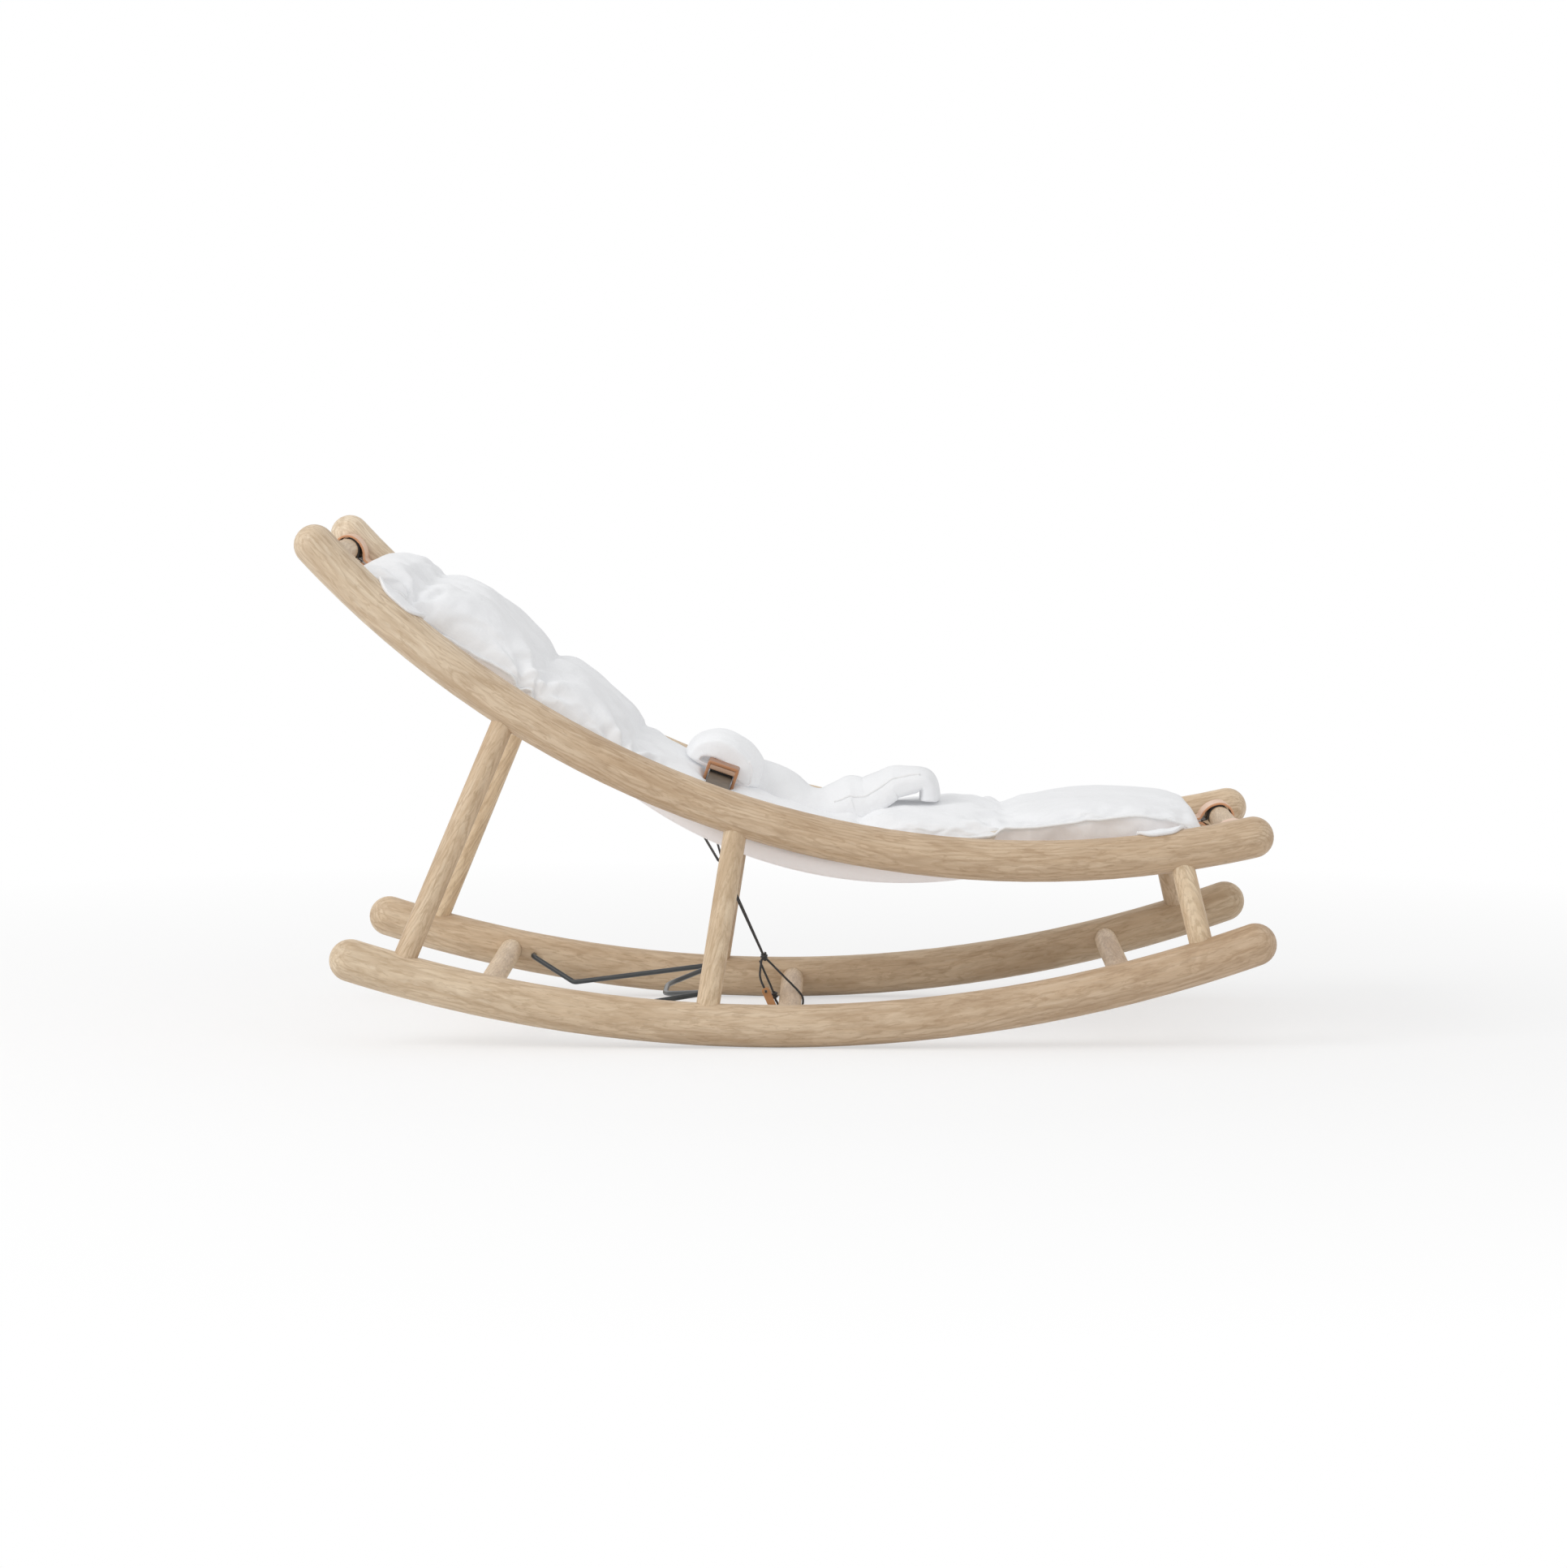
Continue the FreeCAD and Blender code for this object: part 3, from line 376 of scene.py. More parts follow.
# places for one of the grain's noises: the pole's three directions, each drawn closer
def grainPlaces(tree, parts, seed, grain):
    shift, along, across, up = oakGrain[grain][:4]
    return add(tree, "CombineXYZ", {0: calc(tree, "MULTIPLY_ADD", parts[0], along, seed * shift),
                                    1: times(tree, parts[1], across),
                                    2: times(tree, parts[2], up)}).outputs[0]


# grain of one pole, from its own three directions: along it, across it and up through it.
# Rings are circles round a pith line beside the pole, warped slowly along it and curled by a
# quicker noise. Streaks, flames, licks, pale flecks and pores are noise drawn out along the
# pole, laid over one another.
def oakFinish(finish, parts, seed, tones):
    material, tree, shader = finish
    along, across, up = parts

    def grain(name):
        return noise(tree, grainPlaces(tree, parts, seed, name), 1.0, *oakGrain[name][4:])

    slow = grainPlaces(tree, parts, seed, "slow")
    warpAcross, warpUp = (spread(tree, noise(tree, places, 1.0), -oak["warp"], oak["warp"])
                          for places in (slow, vectorCalc(tree, "ADD", slow, oak["warpShift"])))
    curl = spread(tree, grain("curl"), -oak["curl"], oak["curl"])
    pithSide = oak["pith"][0] * (1 if seed % 2 else -1)
    fromPith = plus(tree, across, pithSide, warpAcross, curl)
    overPith = plus(tree, up, oak["pith"][1], warpUp)
    ringPlace = calc(tree, "SQRT", plus(tree, times(tree, fromPith, fromPith),
                                        times(tree, overPith, overPith)))
    ringPlace = calc(tree, "DIVIDE", ringPlace, oak["ringStep"])
    fray = times(tree, grain("frayed"), oak["fray"])
    values = {name: grain(name) for name in ("pores", "streaks", "flames", "licks", "flecks")}
    values["early"] = calc(tree, "FRACT", plus(tree, ringPlace, fray))
    values["cloud"] = noise(tree, slow, oak["cloud"])
    shown = {name: ramp(tree, value, oakStops[name]) for name, value in values.items()}
    height = plus(tree, times(tree, shown["pores"], -oak["poreDepth"]),
                  times(tree, shown["early"], -oak["ringDepth"]))
    # pores show less between the rings' early wood
    shown["pores"] = times(tree, shown["pores"], spread(tree, shown["early"], oak["poresBetween"], 1.0))
    colour = oak["pale"]
    for name, strength, tone in oakLayers:
        colour = mixColour(tree, times(tree, shown[name], strength), colour, oak[tone])
    # each piece's tone and painted light: the colour is multiplied by a blend from the first level to the
    # last between two places along the pole, paler toward the head end
    first, last, (start, end) = tones
    changed = calc(tree, "DIVIDE", less(tree, along, start), end - start)
    colour = mixColour(tree, 1.0, colour, mixColour(tree, changed, first, last), "MULTIPLY")
    feed(tree, shader, {"Base Color": colour, "Coat Weight": oak["coat"],
                        "Coat Roughness": oak["coatRoughness"],
                        "Roughness": spread(tree, values["streaks"], *oak["roughness"]),
                        "Normal": bump(tree, height, *oak["relief"])})
    return material


# grain that follows a pole bent to an arc in XZ: along is the arc's length, up the distance
# inside the arc, across the distance from the pole's middle plane
def bentOak(name, pole, side, seed, tones):
    finish = newFinish(name)
    tree = finish[1]
    place = add(tree, "SeparateXYZ", {0: objectPlace(tree)})
    x = less(tree, place.outputs[0], pole["middle"][0])
    z = less(tree, pole["middle"][1], place.outputs[2])
    along = times(tree, calc(tree, "ARCTAN2", x, z), pole["radius"])
    reach = calc(tree, "SQRT", plus(tree, times(tree, x, x), times(tree, z, z)))
    parts = (along, less(tree, place.outputs[1], side), less(tree, pole["radius"], reach))
    return oakFinish(finish, parts, seed, tones)


# grain along a straight dowel, from its middle and its direction
def straightOak(name, middle, direction, seed, tones):
    finish = newFinish(name)
    tree = finish[1]
    along = unit(np.asarray(direction, float))
    other = sideways if abs(along[1]) < 0.5 else alongX
    across = unit(other - along * (other @ along))
    place = vectorCalc(tree, "SUBTRACT", objectPlace(tree), tuple(middle))
    parts = [vectorCalc(tree, "DOT_PRODUCT", place, tuple(axis))
             for axis in (along, across, np.cross(along, across))]
    return oakFinish(finish, parts, seed, tones)


poles = {"rail": {"middle": (0.2355, 1.0915), "radius": 0.919, "side": 0.165},
         "rocker": {"middle": (-0.0075, 1.350), "radius": 1.330, "side": 0.1955}}


# every bent pole and straight dowel has a finish and a seed of its own; an upright leans along
# its box's diagonal, and every other dowel lies across
def finishPoles():
    for number, (kind, pole) in enumerate(poles.items()):
        for step, (side, sign) in enumerate(bothSides):
            name = kind + "_" + side
            paint(nodes[name], bentOak("oak" + kind.title() + side.title(), pole, sign * pole["side"],
                                       3 + 5 * number + 2 * step, toneAndPaintedLightOf(name)))
    dowels = [name for name in nodes if name.startswith(("upright", "cross_dowel", "top_dowel"))]
    for seed, name in enumerate(dowels, 21):
        low, high = (np.array(corner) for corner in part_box(name))
        lean = (high - low) * (-1 if "front" in name else 1, 0, 1)
        direction = lean if name.startswith("upright") else sideways
        paint(nodes[name], straightOak("oak" + name.title().replace("_", ""), (low + high) / 2,
                                       direction, seed, toneAndPaintedLightOf(name)))


finishPoles()
print("oak poles and dowels finished")


# cloth finishes
weave = {"roughness": (0.82, 0.90), "sheen": 0.15, "sheenRoughness": 0.5, "shine": 0.25,
         "slubs": ((1800, 120, 1), (120, 1800, 1)), "threadRelief": (0.30, 0.0002),
         "wrinkleRelief": (0.60, 0.0050),
         "shading": {"slubs": (0.55, -0.30), "woven": (-0.12, 0.12), "slow": (0.4, -0.2)}}


# cloth from its own UV in metres: warp and weft as two crossed sine rows, slubs as stretched
# noise, and soft creases as slow noise; a lower colour shows where belowSeam is 1. paintedGlow is painted
# light: the cloth glows in its own colour, standing in for the light that bounces into and comes through the
# thin cloth
def clothFinish(name, pale, shade, pitch, creases, lower=None, paintedGlow=0.09):
    material, tree, shader = newFinish(name)
    uv = add(tree, "UVMap", uv_map="cloth").outputs[0]
    part = add(tree, "SeparateXYZ", {0: uv})
    warp, weft = (calc(tree, "SINE", times(tree, part.outputs[k], 2 * math.pi / pitch)) for k in (0, 1))
    woven = times(tree, warp, weft)
    slubs = plus(tree, *(noise(tree, vectorCalc(tree, "MULTIPLY", uv, stretch), 1.0, 2.0)
                         for stretch in weave["slubs"]))
    slow = noise(tree, vectorCalc(tree, "MULTIPLY", uv, (creases, creases, 1)), 1.0, 3.0, 0.55, 0.4)
    parts = {"slubs": slubs, "woven": woven, "slow": slow}
    # the slubs vary the cloth's own tone; the weave and the crease noise darken it toward the shade colour,
    # painted shade between the threads and along the soft creases
    shadeShare = plus(tree, *(calc(tree, "MULTIPLY_ADD", value, *weave["shading"][kind])
                              for kind, value in parts.items()))
    colour = mixColour(tree, shadeShare, pale, shade)
    if lower:
        colour = mixColour(tree, pieceShare(tree, "belowSeam"), colour, lower)
    threads = bump(tree, plus(tree, times(tree, woven, 0.5), slubs), *weave["threadRelief"])
    feed(tree, shader, {"Base Color": colour, "Roughness": spread(tree, slubs, *weave["roughness"]),
                        "Sheen Weight": weave["sheen"], "Sheen Roughness": weave["sheenRoughness"],
                        "Specular IOR Level": weave["shine"],
                        # painted light: the cloth glows in its own colour
                        "Emission Color": colour, "Emission Strength": paintedGlow,
                        "Normal": bump(tree, slow, *weave["wrinkleRelief"], Normal=threads)})
    return material


white = {"pale": (0.86, 0.865, 0.875), "shade": (0.76, 0.765, 0.78), "pitch": 0.0009, "creases": 26.0}
cotton = clothFinish("whiteCotton", **white)
quiltCotton = clothFinish("quiltCotton", **white, lower=(0.88, 0.86, 0.855))
# the sleeve glows more than the other cotton, painted light on its shaded end faces
sleeveCotton = clothFinish("sleeveCotton", **white, paintedGlow=0.14)
pipingCotton = clothFinish("pipingCotton", (0.87, 0.875, 0.88), (0.74, 0.74, 0.74), 0.0009, 60.0)
# the sling cloth glows more too, painted light in the shade under the seat
slingCloth = clothFinish("slingCloth", (0.90, 0.865, 0.86), (0.82, 0.785, 0.78), 0.0012, 9.0, paintedGlow=0.15)
tapeCloth = clothFinish("tapeCloth", (0.84, 0.84, 0.83), (0.62, 0.62, 0.61), 0.0016, 40.0)
labelCloth = clothFinish("labelCloth", (0.78, 0.72, 0.64), (0.62, 0.55, 0.46), 0.0008, 60.0)

# leather
leather = {"tan": ((0.82, 0.60, 0.46), (0.71, 0.47, 0.33), (0.68, 0.35, 0.19), 0.50),
           "brown": ((0.40, 0.21, 0.12), (0.29, 0.135, 0.07), (0.54, 0.26, 0.13), 0.42),
           "dark": ((0.150, 0.115, 0.080), (0.10, 0.075, 0.052), (0.07, 0.05, 0.035), 0.55),
           "tag": ((0.60, 0.31, 0.14), (0.46, 0.22, 0.09), (0.34, 0.14, 0.06), 0.50),
           "brow": ((0.58, 0.37, 0.26), (0.44, 0.26, 0.17), (0.60, 0.40, 0.28), 0.42)}
hide = {"pebbles": 1300.0, "patches": 90.0, "pebbleShade": 0.25, "gloss": 0.08, "relief": (0.3, 0.00015)}


# fine pebbles from cell noise, slow tone change, and another colour for the cut edges, where
# the piece's own cutEdge is 1
def leatherFinish(kind):
    material, tree, shader = newFinish(kind + "Leather")
    face, deep, edge, roughness = leather[kind]
    place = objectPlace(tree)
    cells = add(tree, "TexVoronoi", {"Vector": place, "Scale": hide["pebbles"]}).outputs["Distance"]
    slow = noise(tree, place, hide["patches"], 3.0)
    colour = mixColour(tree, ramp(tree, slow, [(0.3, 0.0), (0.75, 1.0)]), face, deep)
    colour = mixColour(tree, times(tree, cells, hide["pebbleShade"]), colour, deep)
    colour = mixColour(tree, pieceShare(tree, "cutEdge"), colour, edge)
    feed(tree, shader, {"Base Color": colour,
                        "Roughness": spread(tree, slow, roughness - hide["gloss"], roughness + hide["gloss"]),
                        "Normal": bump(tree, cells, *hide["relief"])})
    return material


leathers = {kind: leatherFinish(kind) for kind in leather}

# metal
metal = {"patches": 60.0, "peel": 700.0, "paler": 1.7, "gloss": (-0.05, 0.08), "relief": 0.25}


# painted or coated metal: slow tone noise and a slight orange-peel bump
def coatedMetal(name, colour, roughness, peel):
    material, tree, shader = newFinish(name)
    place = objectPlace(tree)
    slow = noise(tree, place, metal["patches"], 3.0)
    tone = mixColour(tree, slow, colour, tuple(c * metal["paler"] for c in colour))
    rough = spread(tree, slow, *(roughness + step for step in metal["gloss"]))
    peeled = bump(tree, noise(tree, place, metal["peel"], 2.0), metal["relief"], peel)
    feed(tree, shader, {"Base Color": tone, "Roughness": rough, "Normal": peeled})
    return material


blackSteel = coatedMetal("blackSteel", (0.020, 0.020, 0.021), 0.42, 0.00006)
coatedWire = coatedMetal("coatedWire", (0.030, 0.034, 0.036), 0.30, 0.00008)


# cord
braiding = {"step": 1.6, "strands": 3, "tones": (0.6, 1.6), "roughness": 0.7, "sheen": 0.2,
            "relief": (0.5, 0.0003)}


# braided cord: two crossed diagonal rows from the spline's own UV, whose first part runs along it
def cordFinish(name, length, width, colour):
    material, tree, shader = newFinish(name)
    part = add(tree, "SeparateXYZ", {0: add(tree, "TexCoord").outputs["UV"]})
    alongTurns = times(tree, part.outputs[0], 2 * math.pi * length / (width * braiding["step"]))
    aroundTurns = times(tree, part.outputs[1], 2 * math.pi * braiding["strands"])
    rows = (plus(tree, alongTurns, aroundTurns), less(tree, alongTurns, aroundTurns))
    braid = calc(tree, "MAXIMUM", *(calc(tree, "SINE", row) for row in rows))
    # painted shade in the grooves between the strands and painted highlight on their crowns, on the one cord
    # colour
    tone = mixColour(tree, calc(tree, "MULTIPLY_ADD", braid, 0.5, 0.5),
                     *(tuple(c * share for c in colour) for share in braiding["tones"]))
    feed(tree, shader, {"Base Color": tone, "Roughness": braiding["roughness"],
                        "Sheen Weight": braiding["sheen"],
                        "Normal": bump(tree, braid, *braiding["relief"])})
    return material


print("finishes made")

for name, piece in nodes.items():
    if name.startswith("steel_hook"):
        paint(piece, blackSteel)
paint(nodes["wire_stand"], coatedWire)
paint(nodes["pull_tag"], leathers["tag"])

# sling
slingCut = {"halfWidth": 0.1435, "endReach": 0.028, "thickness": 0.0024, "hem": 0.011, "hemRise": 0.0006,
            "curlStart": 0.121, "curlBend": 0.0118, "curlTurn": 1.72, "curlFrom": 0.012, "curlOver": 0.075,
            "curlLeast": 0.002, "waves": 3.2, "waveSide": 0.139, "waveHeight": 0.0012, "waveReach": 0.09,
            "rows": 150, "columns": 60}


# closed skin: the line's places at half the thickness above and below; hems stand a little
# proud along all four edges, and slack waves fade away from the four hung corners. The long
# edges turn up round the cushion on a circle and a short straight, which open out to flat at
# both ends.
def makeSling():
    s = slingCut
    distance = np.linspace(s["endReach"], lineLength - s["endReach"], s["rows"])[:, None]
    side = np.linspace(-1, 1, s["columns"])[None, :] * s["halfWidth"]
    fromEnd = np.minimum(distance, lineLength - distance) - s["endReach"]
    inHem = np.maximum(fromEnd < s["hem"], s["halfWidth"] - np.abs(side) < s["hem"]) * 1.0
    pull = np.exp(-fromEnd / s["waveReach"])
    wave = np.cos(side / s["waveSide"] * np.pi * s["waves"]) * pull * s["waveHeight"]
    curled = np.clip((fromEnd - s["curlFrom"]) / s["curlOver"], s["curlLeast"], 1)
    bend = s["curlBend"] / (curled ** 2 * (3 - 2 * curled))
    past = np.clip(np.abs(side) - s["curlStart"], 0, 1)
    angle = np.minimum(past / bend, s["curlTurn"])
    straight = past - bend * angle
    edgeSide = np.sign(side) * (np.abs(side) - past + bend * np.sin(angle) + straight * np.cos(angle))
    edgeLift = bend * (1 - np.cos(angle)) + straight * np.sin(angle)
    half = s["thickness"] / 2
    under, over = (onSling(distance, wave + edgeLift + off * np.cos(angle),
                           edgeSide - np.sign(side) * off * np.sin(angle))
                   for off in (-half - s["hemRise"] * inHem, half))
    piece = skin("slingCloth", np.concatenate([under, over[:, ::-1]], axis=1))
    settle(piece, slingCloth, "sling_cloth", "sling")


makeSling()
print("sling made")

# cushion
# share along the cushion, crown over the sling's line, half width, side seam over the line
quilt = {"start": 0.030, "floor": 0.0028, "halfWidth": 0.139,
         "share": (0, .004, .012, .024, .043, .060, .071, .080, .092, .117, .157, .194, .213, .221, .230,
                   .245, .266, .298, .325, .340, .346, .358, .382, .430, .500, .560, .610, .628, .640, .665,
                   .700, .743, .766, .785, .797, .806, .821, .848, .875, .905, .935, .969, .990, .998, 1),
         "crown": (.008, .020, .031, .037, .043, .0435, .0415, .049, .055, .060, .0595, .0545, .0505,
                   .0475, .053, .0565, .057, .055, .051, .0450, .0410, .0435, .0470, .0505, .0515,
                   .0515, .0515, .049, .053, .061, .0610, .0610, .0580, .054, .0485, .0490, .0495,
                   .0500, .0500, .0475, .0430, .0365, .0310, .025, .015),
         "seamShare": (0, .02, .10, .33, .40, .60, .66, .75, .85, .90, .94, .97, 1),
         "seam": (.007, .011, .0155, .0165, .022, .033, .041, .043, .039, .037, .034, .026, .009),
         "widthShare": (0, .006, .02, .05, .071, .10, .20, .221, .25, .33, .345, .37, .62, .63, .66, .78,
                        .797, .82, .94, .975, .993, 1),
         "width": (.905, .94, .965, .985, .972, .995, .998, .978, .998, .995, .978, .99, .99, .984, .999,
                   .998, .982, .999, .985, .97, .945, .91),
         "seams": (.071, .221, .344, .629, .797), "rows": 184, "top": 60, "side": 7,
         "topRound": 0.86, "topFlat": 0.62, "drawn": 0.0205, "cheek": 0.0135, "cheekBend": 0.004,
         "cheekFlare": 0.007, "bulge": 0.0015, "swell": 0.9, "growth": -0.045, "cap": 0.0035,
         "heldOver": 0.013, "pocket": 0.0075, "pocketShare": 0.450, "pocketSide": 0.078,
         "pocketHalf": (0.0185, 0.019), "pocketEdge": (6, 4),
         "fullBulge": 0.03, "leastBulge": 0.3, "fullFolds": 0.02}
quiltLength = lineLength - 2 * quilt["start"]

# the cushion's folds: their heights, the sizes of their noise across and along the seat, and
# how far from the sewn line or the side seam they are highest and over what distance they fade
folding = {"ridge": 0.0054, "ridgeCells": (0.0115, 0.06), "ridgeAt": (0.010, 0.016),
           "spoke": 0.0058, "spokeTurns": 7.92, "spokeCrease": 0.0050, "spokeCreaseTurns": 6.12,
           "spokeReach": (0.05, 0.035), "spokeStart": 0.002,
           "lineCrease": 0.0030, "lineCreaseStep": 0.0105, "lineCreaseAt": (0.011, 0.012),
           "lineWaver": 1.6, "lineWaverCells": (0.02, 0.03),
           "sideRipple": 0.0018, "sideRippleCells": (0.05, 0.011), "sideRippleAt": (0.006, 0.012),
           "sideCrease": 0.0022, "sideCreaseStep": 0.0085, "sideCreaseAt": (0.010, 0.014),
           "sideWaver": 2.5, "sideWaverCells": (0.04, 0.025),
           "slow": 0.0026, "slowCells": (0.060, 0.040, 0.05),
           "quick": 0.0011, "quickCells": (0.045, 0.016, 0.03)}


def crownAt(share):
    return np.interp(share, quilt["share"], quilt["crown"])


# folds of the top: ridges square to each sewn line that fade away from it, spokes from both ends
# of each line, a fine pucker along the side seams, and slow unevenness; narrow creases run the
# same ways
def cushionFoldLift(distance, side, wide):
    f = folding
    edge = wide - np.abs(side)
    lift = np.zeros_like(side)
    for number, place in enumerate(quilt["seams"]):
        past = distance - quilt["start"] - place * quiltLength
        away = np.abs(past)
        across, along = f["ridgeCells"]
        ridge = ripple(side / across + 31 * number, distance / along, 11 + number)
        lift += ridge * hill(away, *f["ridgeAt"]) * f["ridge"]
        near = hill(away, 0, f["spokeReach"][0]) * hill(edge, 0, f["spokeReach"][1])
        fan = np.arctan2(past, edge + f["spokeStart"])
        lift += near * np.sin(fan * f["spokeTurns"] + number) * f["spoke"]
        lift -= near * crease(fan * f["spokeCreaseTurns"] + 2 * number) * f["spokeCrease"]
        across, along = f["lineWaverCells"]
        waver = ripple(side / across, distance / along, 51 + number) * f["lineWaver"]
        lined = crease(side / f["lineCreaseStep"] + waver)
        lift -= lined * hill(away, *f["lineCreaseAt"]) * f["lineCrease"]
    across, along = f["sideRippleCells"]
    lift += ripple(distance / along, side / across, 5) * hill(edge, *f["sideRippleAt"]) * f["sideRipple"]
    across, along = f["sideWaverCells"]
    waver = ripple(distance / along, side / across, 52) * f["sideWaver"]
    puckered = crease(distance / f["sideCreaseStep"] + waver)
    lift -= puckered * hill(edge, *f["sideCreaseAt"]) * f["sideCrease"]
    for size, seed in (("slow", 8), ("quick", 9)):
        across, along, slant = f[size + "Cells"]
        lift += ripple(distance / along + side / slant, side / across, seed) * f[size]
    return lift


# section columns: flat floor, a side that rounds out of the floor and bulges up to the seam,
# and a top whose height is the seam's plus the rest of the crown times a flattened half
# circle across the width; a soft-edged pocket is pressed in under each keeper
def makeCushion():
    q = quilt
    share = np.linspace(0, 1, q["rows"])
    marks = np.argmin(np.abs(share[:, None] - np.array(q["seams"])[None]), axis=0)
    share[marks] = q["seams"]
    crown = crownAt(share)[:, None]
    wide = (q["halfWidth"] * np.interp(share, q["widthShare"], q["width"]))[:, None]
    seam = np.interp(share, q["seamShare"], q["seam"])[:, None]
    low = q["floor"]
    turn = np.linspace(-np.pi / 2, np.pi / 2, q["top"])[None]
    topSide = wide * squareOff(np.sin(turn), q["topRound"])
    topLift = seam + (crown - seam) * np.cos(turn) ** q["topFlat"]
    floorSide = np.linspace(-1, 1, q["top"])[None] * (wide - q["drawn"])
    floorLift = np.full_like(floorSide, low)
    rise = np.linspace(0, 1, q["side"] + 2)[1:-1][None]
    bulge = np.sin(np.pi * rise) * q["bulge"] * np.clip((seam - low) / q["fullBulge"], q["leastBulge"], 1)
    cheekLift = low + (seam - low) * rise
    rounded = 1 - np.exp(-(cheekLift - low) / q["cheekBend"])
    cheekSide = wide - q["drawn"] + q["cheek"] * rounded + q["cheekFlare"] * rise ** 3 + bulge
    side = np.concatenate([floorSide, cheekSide, topSide[:, ::-1], -cheekSide[:, ::-1]], axis=1)
    lift = np.concatenate([floorLift, cheekLift, topLift[:, ::-1], cheekLift[:, ::-1]], axis=1)
    distance = q["start"] + share[:, None] * quiltLength
    overlap = 2                                # columns past which the first and last ones meet
    firstTop, lastTop = q["top"] + q["side"], 2 * q["top"] + q["side"]
    held = np.roll(lift < low + q["heldOver"], overlap, axis=1)
    folds = np.zeros_like(lift)
    raised = cushionFoldLift(distance, topSide, wide) * np.clip((crown - seam) / q["fullFolds"], 0, 1)
    folds[:, firstTop:lastTop] = raised[:, ::-1]
    (alongHalf, acrossHalf), (alongEdge, acrossEdge) = q["pocketHalf"], q["pocketEdge"]
    pressed = (hill(distance - q["start"], q["pocketShare"] * quiltLength, alongHalf, alongEdge)
               * hill(np.abs(side), q["pocketSide"], acrossHalf, acrossEdge)) * (lift > seam)
    lift = lift - q["pocket"] * pressed
    points, folded = (np.roll(onSling(distance, height, side), overlap, axis=1)
                      for height in (lift, lift + folds * (1 - pressed)))
    columns = np.arange(points.shape[1])
    seamColumns = [firstTop + overlap, lastTop + overlap - 1]
    below = (columns < seamColumns[0]) | (columns > seamColumns[1])
    piece = skin("quiltedCushion", points, extra={"belowSeam": np.tile(below * 1.0, (len(points), 1))})
    held[:, seamColumns] = True
    held[[0, 1, -2, -1]] = True
    held[np.ix_(marks, columns)] = True
    return piece, points, held, seamColumns, folded - points


# how the cloth behaves while it is blown up
puffing = {"quality": 5, "mass": 0.15, "tension_stiffness": 14, "compression_stiffness": 14,
           "shear_stiffness": 4, "bending_stiffness": 0.06, "use_pressure": True,
           "vertex_group_mass": "sewn"}


# blows the cloth up between its sewn lines, and keeps each point within cap of its start
def puff(piece, held, pressure, growth, cap, frames=20):
    mesh = piece.data
    start = np.empty(len(mesh.vertices) * 3)
    mesh.vertices.foreach_get("co", start)
    start = start.reshape(-1, 3)
    sewn = piece.vertex_groups.new(name="sewn")
    sewn.add(np.flatnonzero(held.ravel()).tolist(), 1.0, "REPLACE")
    cloth = piece.modifiers.new("puff", "CLOTH")
    for key, value in puffing.items():
        setattr(cloth.settings, key, value)
    cloth.settings.uniform_pressure_force = pressure
    cloth.settings.shrink_min = growth
    cloth.settings.effector_weights.gravity = 0
    cloth.collision_settings.use_collision = False
    cloth.point_cache.frame_end = frames
    for number in range(1, frames + 1):
        bpy.context.scene.frame_set(number)
    shaped = piece.evaluated_get(bpy.context.evaluated_depsgraph_get()).to_mesh()
    swollen = np.empty(len(shaped.vertices) * 3)
    shaped.vertices.foreach_get("co", swollen)
    moved = swollen.reshape(-1, 3) - start
    far = np.linalg.norm(moved, axis=1, keepdims=True)
    moved *= np.tanh(far / cap) * cap / np.maximum(far, 1e-9)
    print("puffed", piece.name, "by", round(float(far.max()) * 1000, 2), "mm at most")
    piece.modifiers.remove(cloth)
    piece.vertex_groups.remove(sewn)
    bpy.context.scene.frame_set(1)
    return start + moved


def subdivide(piece):
    finer = piece.modifiers.new("finer", "SUBSURF")
    finer.levels = finer.render_levels = 1


cushionPiece, cushionPoints, cushionHeld, cushionSeams, cushionFolds = makeCushion()
cushionPoints = puff(cushionPiece, cushionHeld, quilt["swell"], quilt["growth"],
                     quilt["cap"]).reshape(cushionPoints.shape)
cushionPoints = cushionPoints + cushionFolds
cushionPiece.data.vertices.foreach_set("co", cushionPoints.ravel())
cushionPiece.data.update()
subdivide(cushionPiece)
settle(cushionPiece, quiltCotton, "white_cotton", "cushion")
print("cushion made")

# piping
piping = {"radius": 0.0015, "proud": 0.0006, "points": 420}


# a thin tube along each side seam, joined across both ends
def makePiping():
    edges = [cushionPoints[:, column] for column in cushionSeams]
    right, left = (edge + sideways * piping["proud"] * np.sign(edge[:, 1:2]) for edge in edges)
    path = through(np.concatenate([right, left[::-1]])[::2], piping["points"], closed=True)
    rings = tube(np.concatenate([path, path[:1]]), piping["radius"], 8, upZ)
    settle(skin("cushionPiping", rings, zipped=False), pipingCotton, "white_cotton")


makePiping()
print("piping sewn on")

# harness
sleeve = {"loop": ((.4985, .0030), (.5000, .0150), (.4940, .0268), (.4780, .0352), (.4610, .0398),
                   (.4430, .0412), (.4250, .0385), (.4110, .0320), (.4010, .0230), (.3990, .0130),
                   (.4040, .0042), (.4500, .0024)),
          "halfWidth": 0.064, "around": 96, "across": 41, "pivot": (0.424, 0.72), "shrink": 0.20,
          "slitMiddle": (.4400, .0090),
          "mouth": ((.0655, .985, .985), (.0668, .95, .94), (.0676, .86, .82), (.0684, .76, .62),
                    (.0694, .68, .44), (.0696, .62, .33), (.0684, .59, .27), (.0560, .58, .25)),
          "fold": 0.0016, "foldCells": (9, 0.028), "foldEnd": 0.03,
          "hem": 0.0008, "hemIn": 0.009, "hemHalf": 0.0016,
          "edging": 0.0014, "edgingProud": 0.0013}


# places over the cushion's crown at a share of its length
def overCushion(share, lift, side):
    share = np.asarray(share, float)
    return onSling(quilt["start"] + share * quiltLength, crownAt(share) + lift, side)


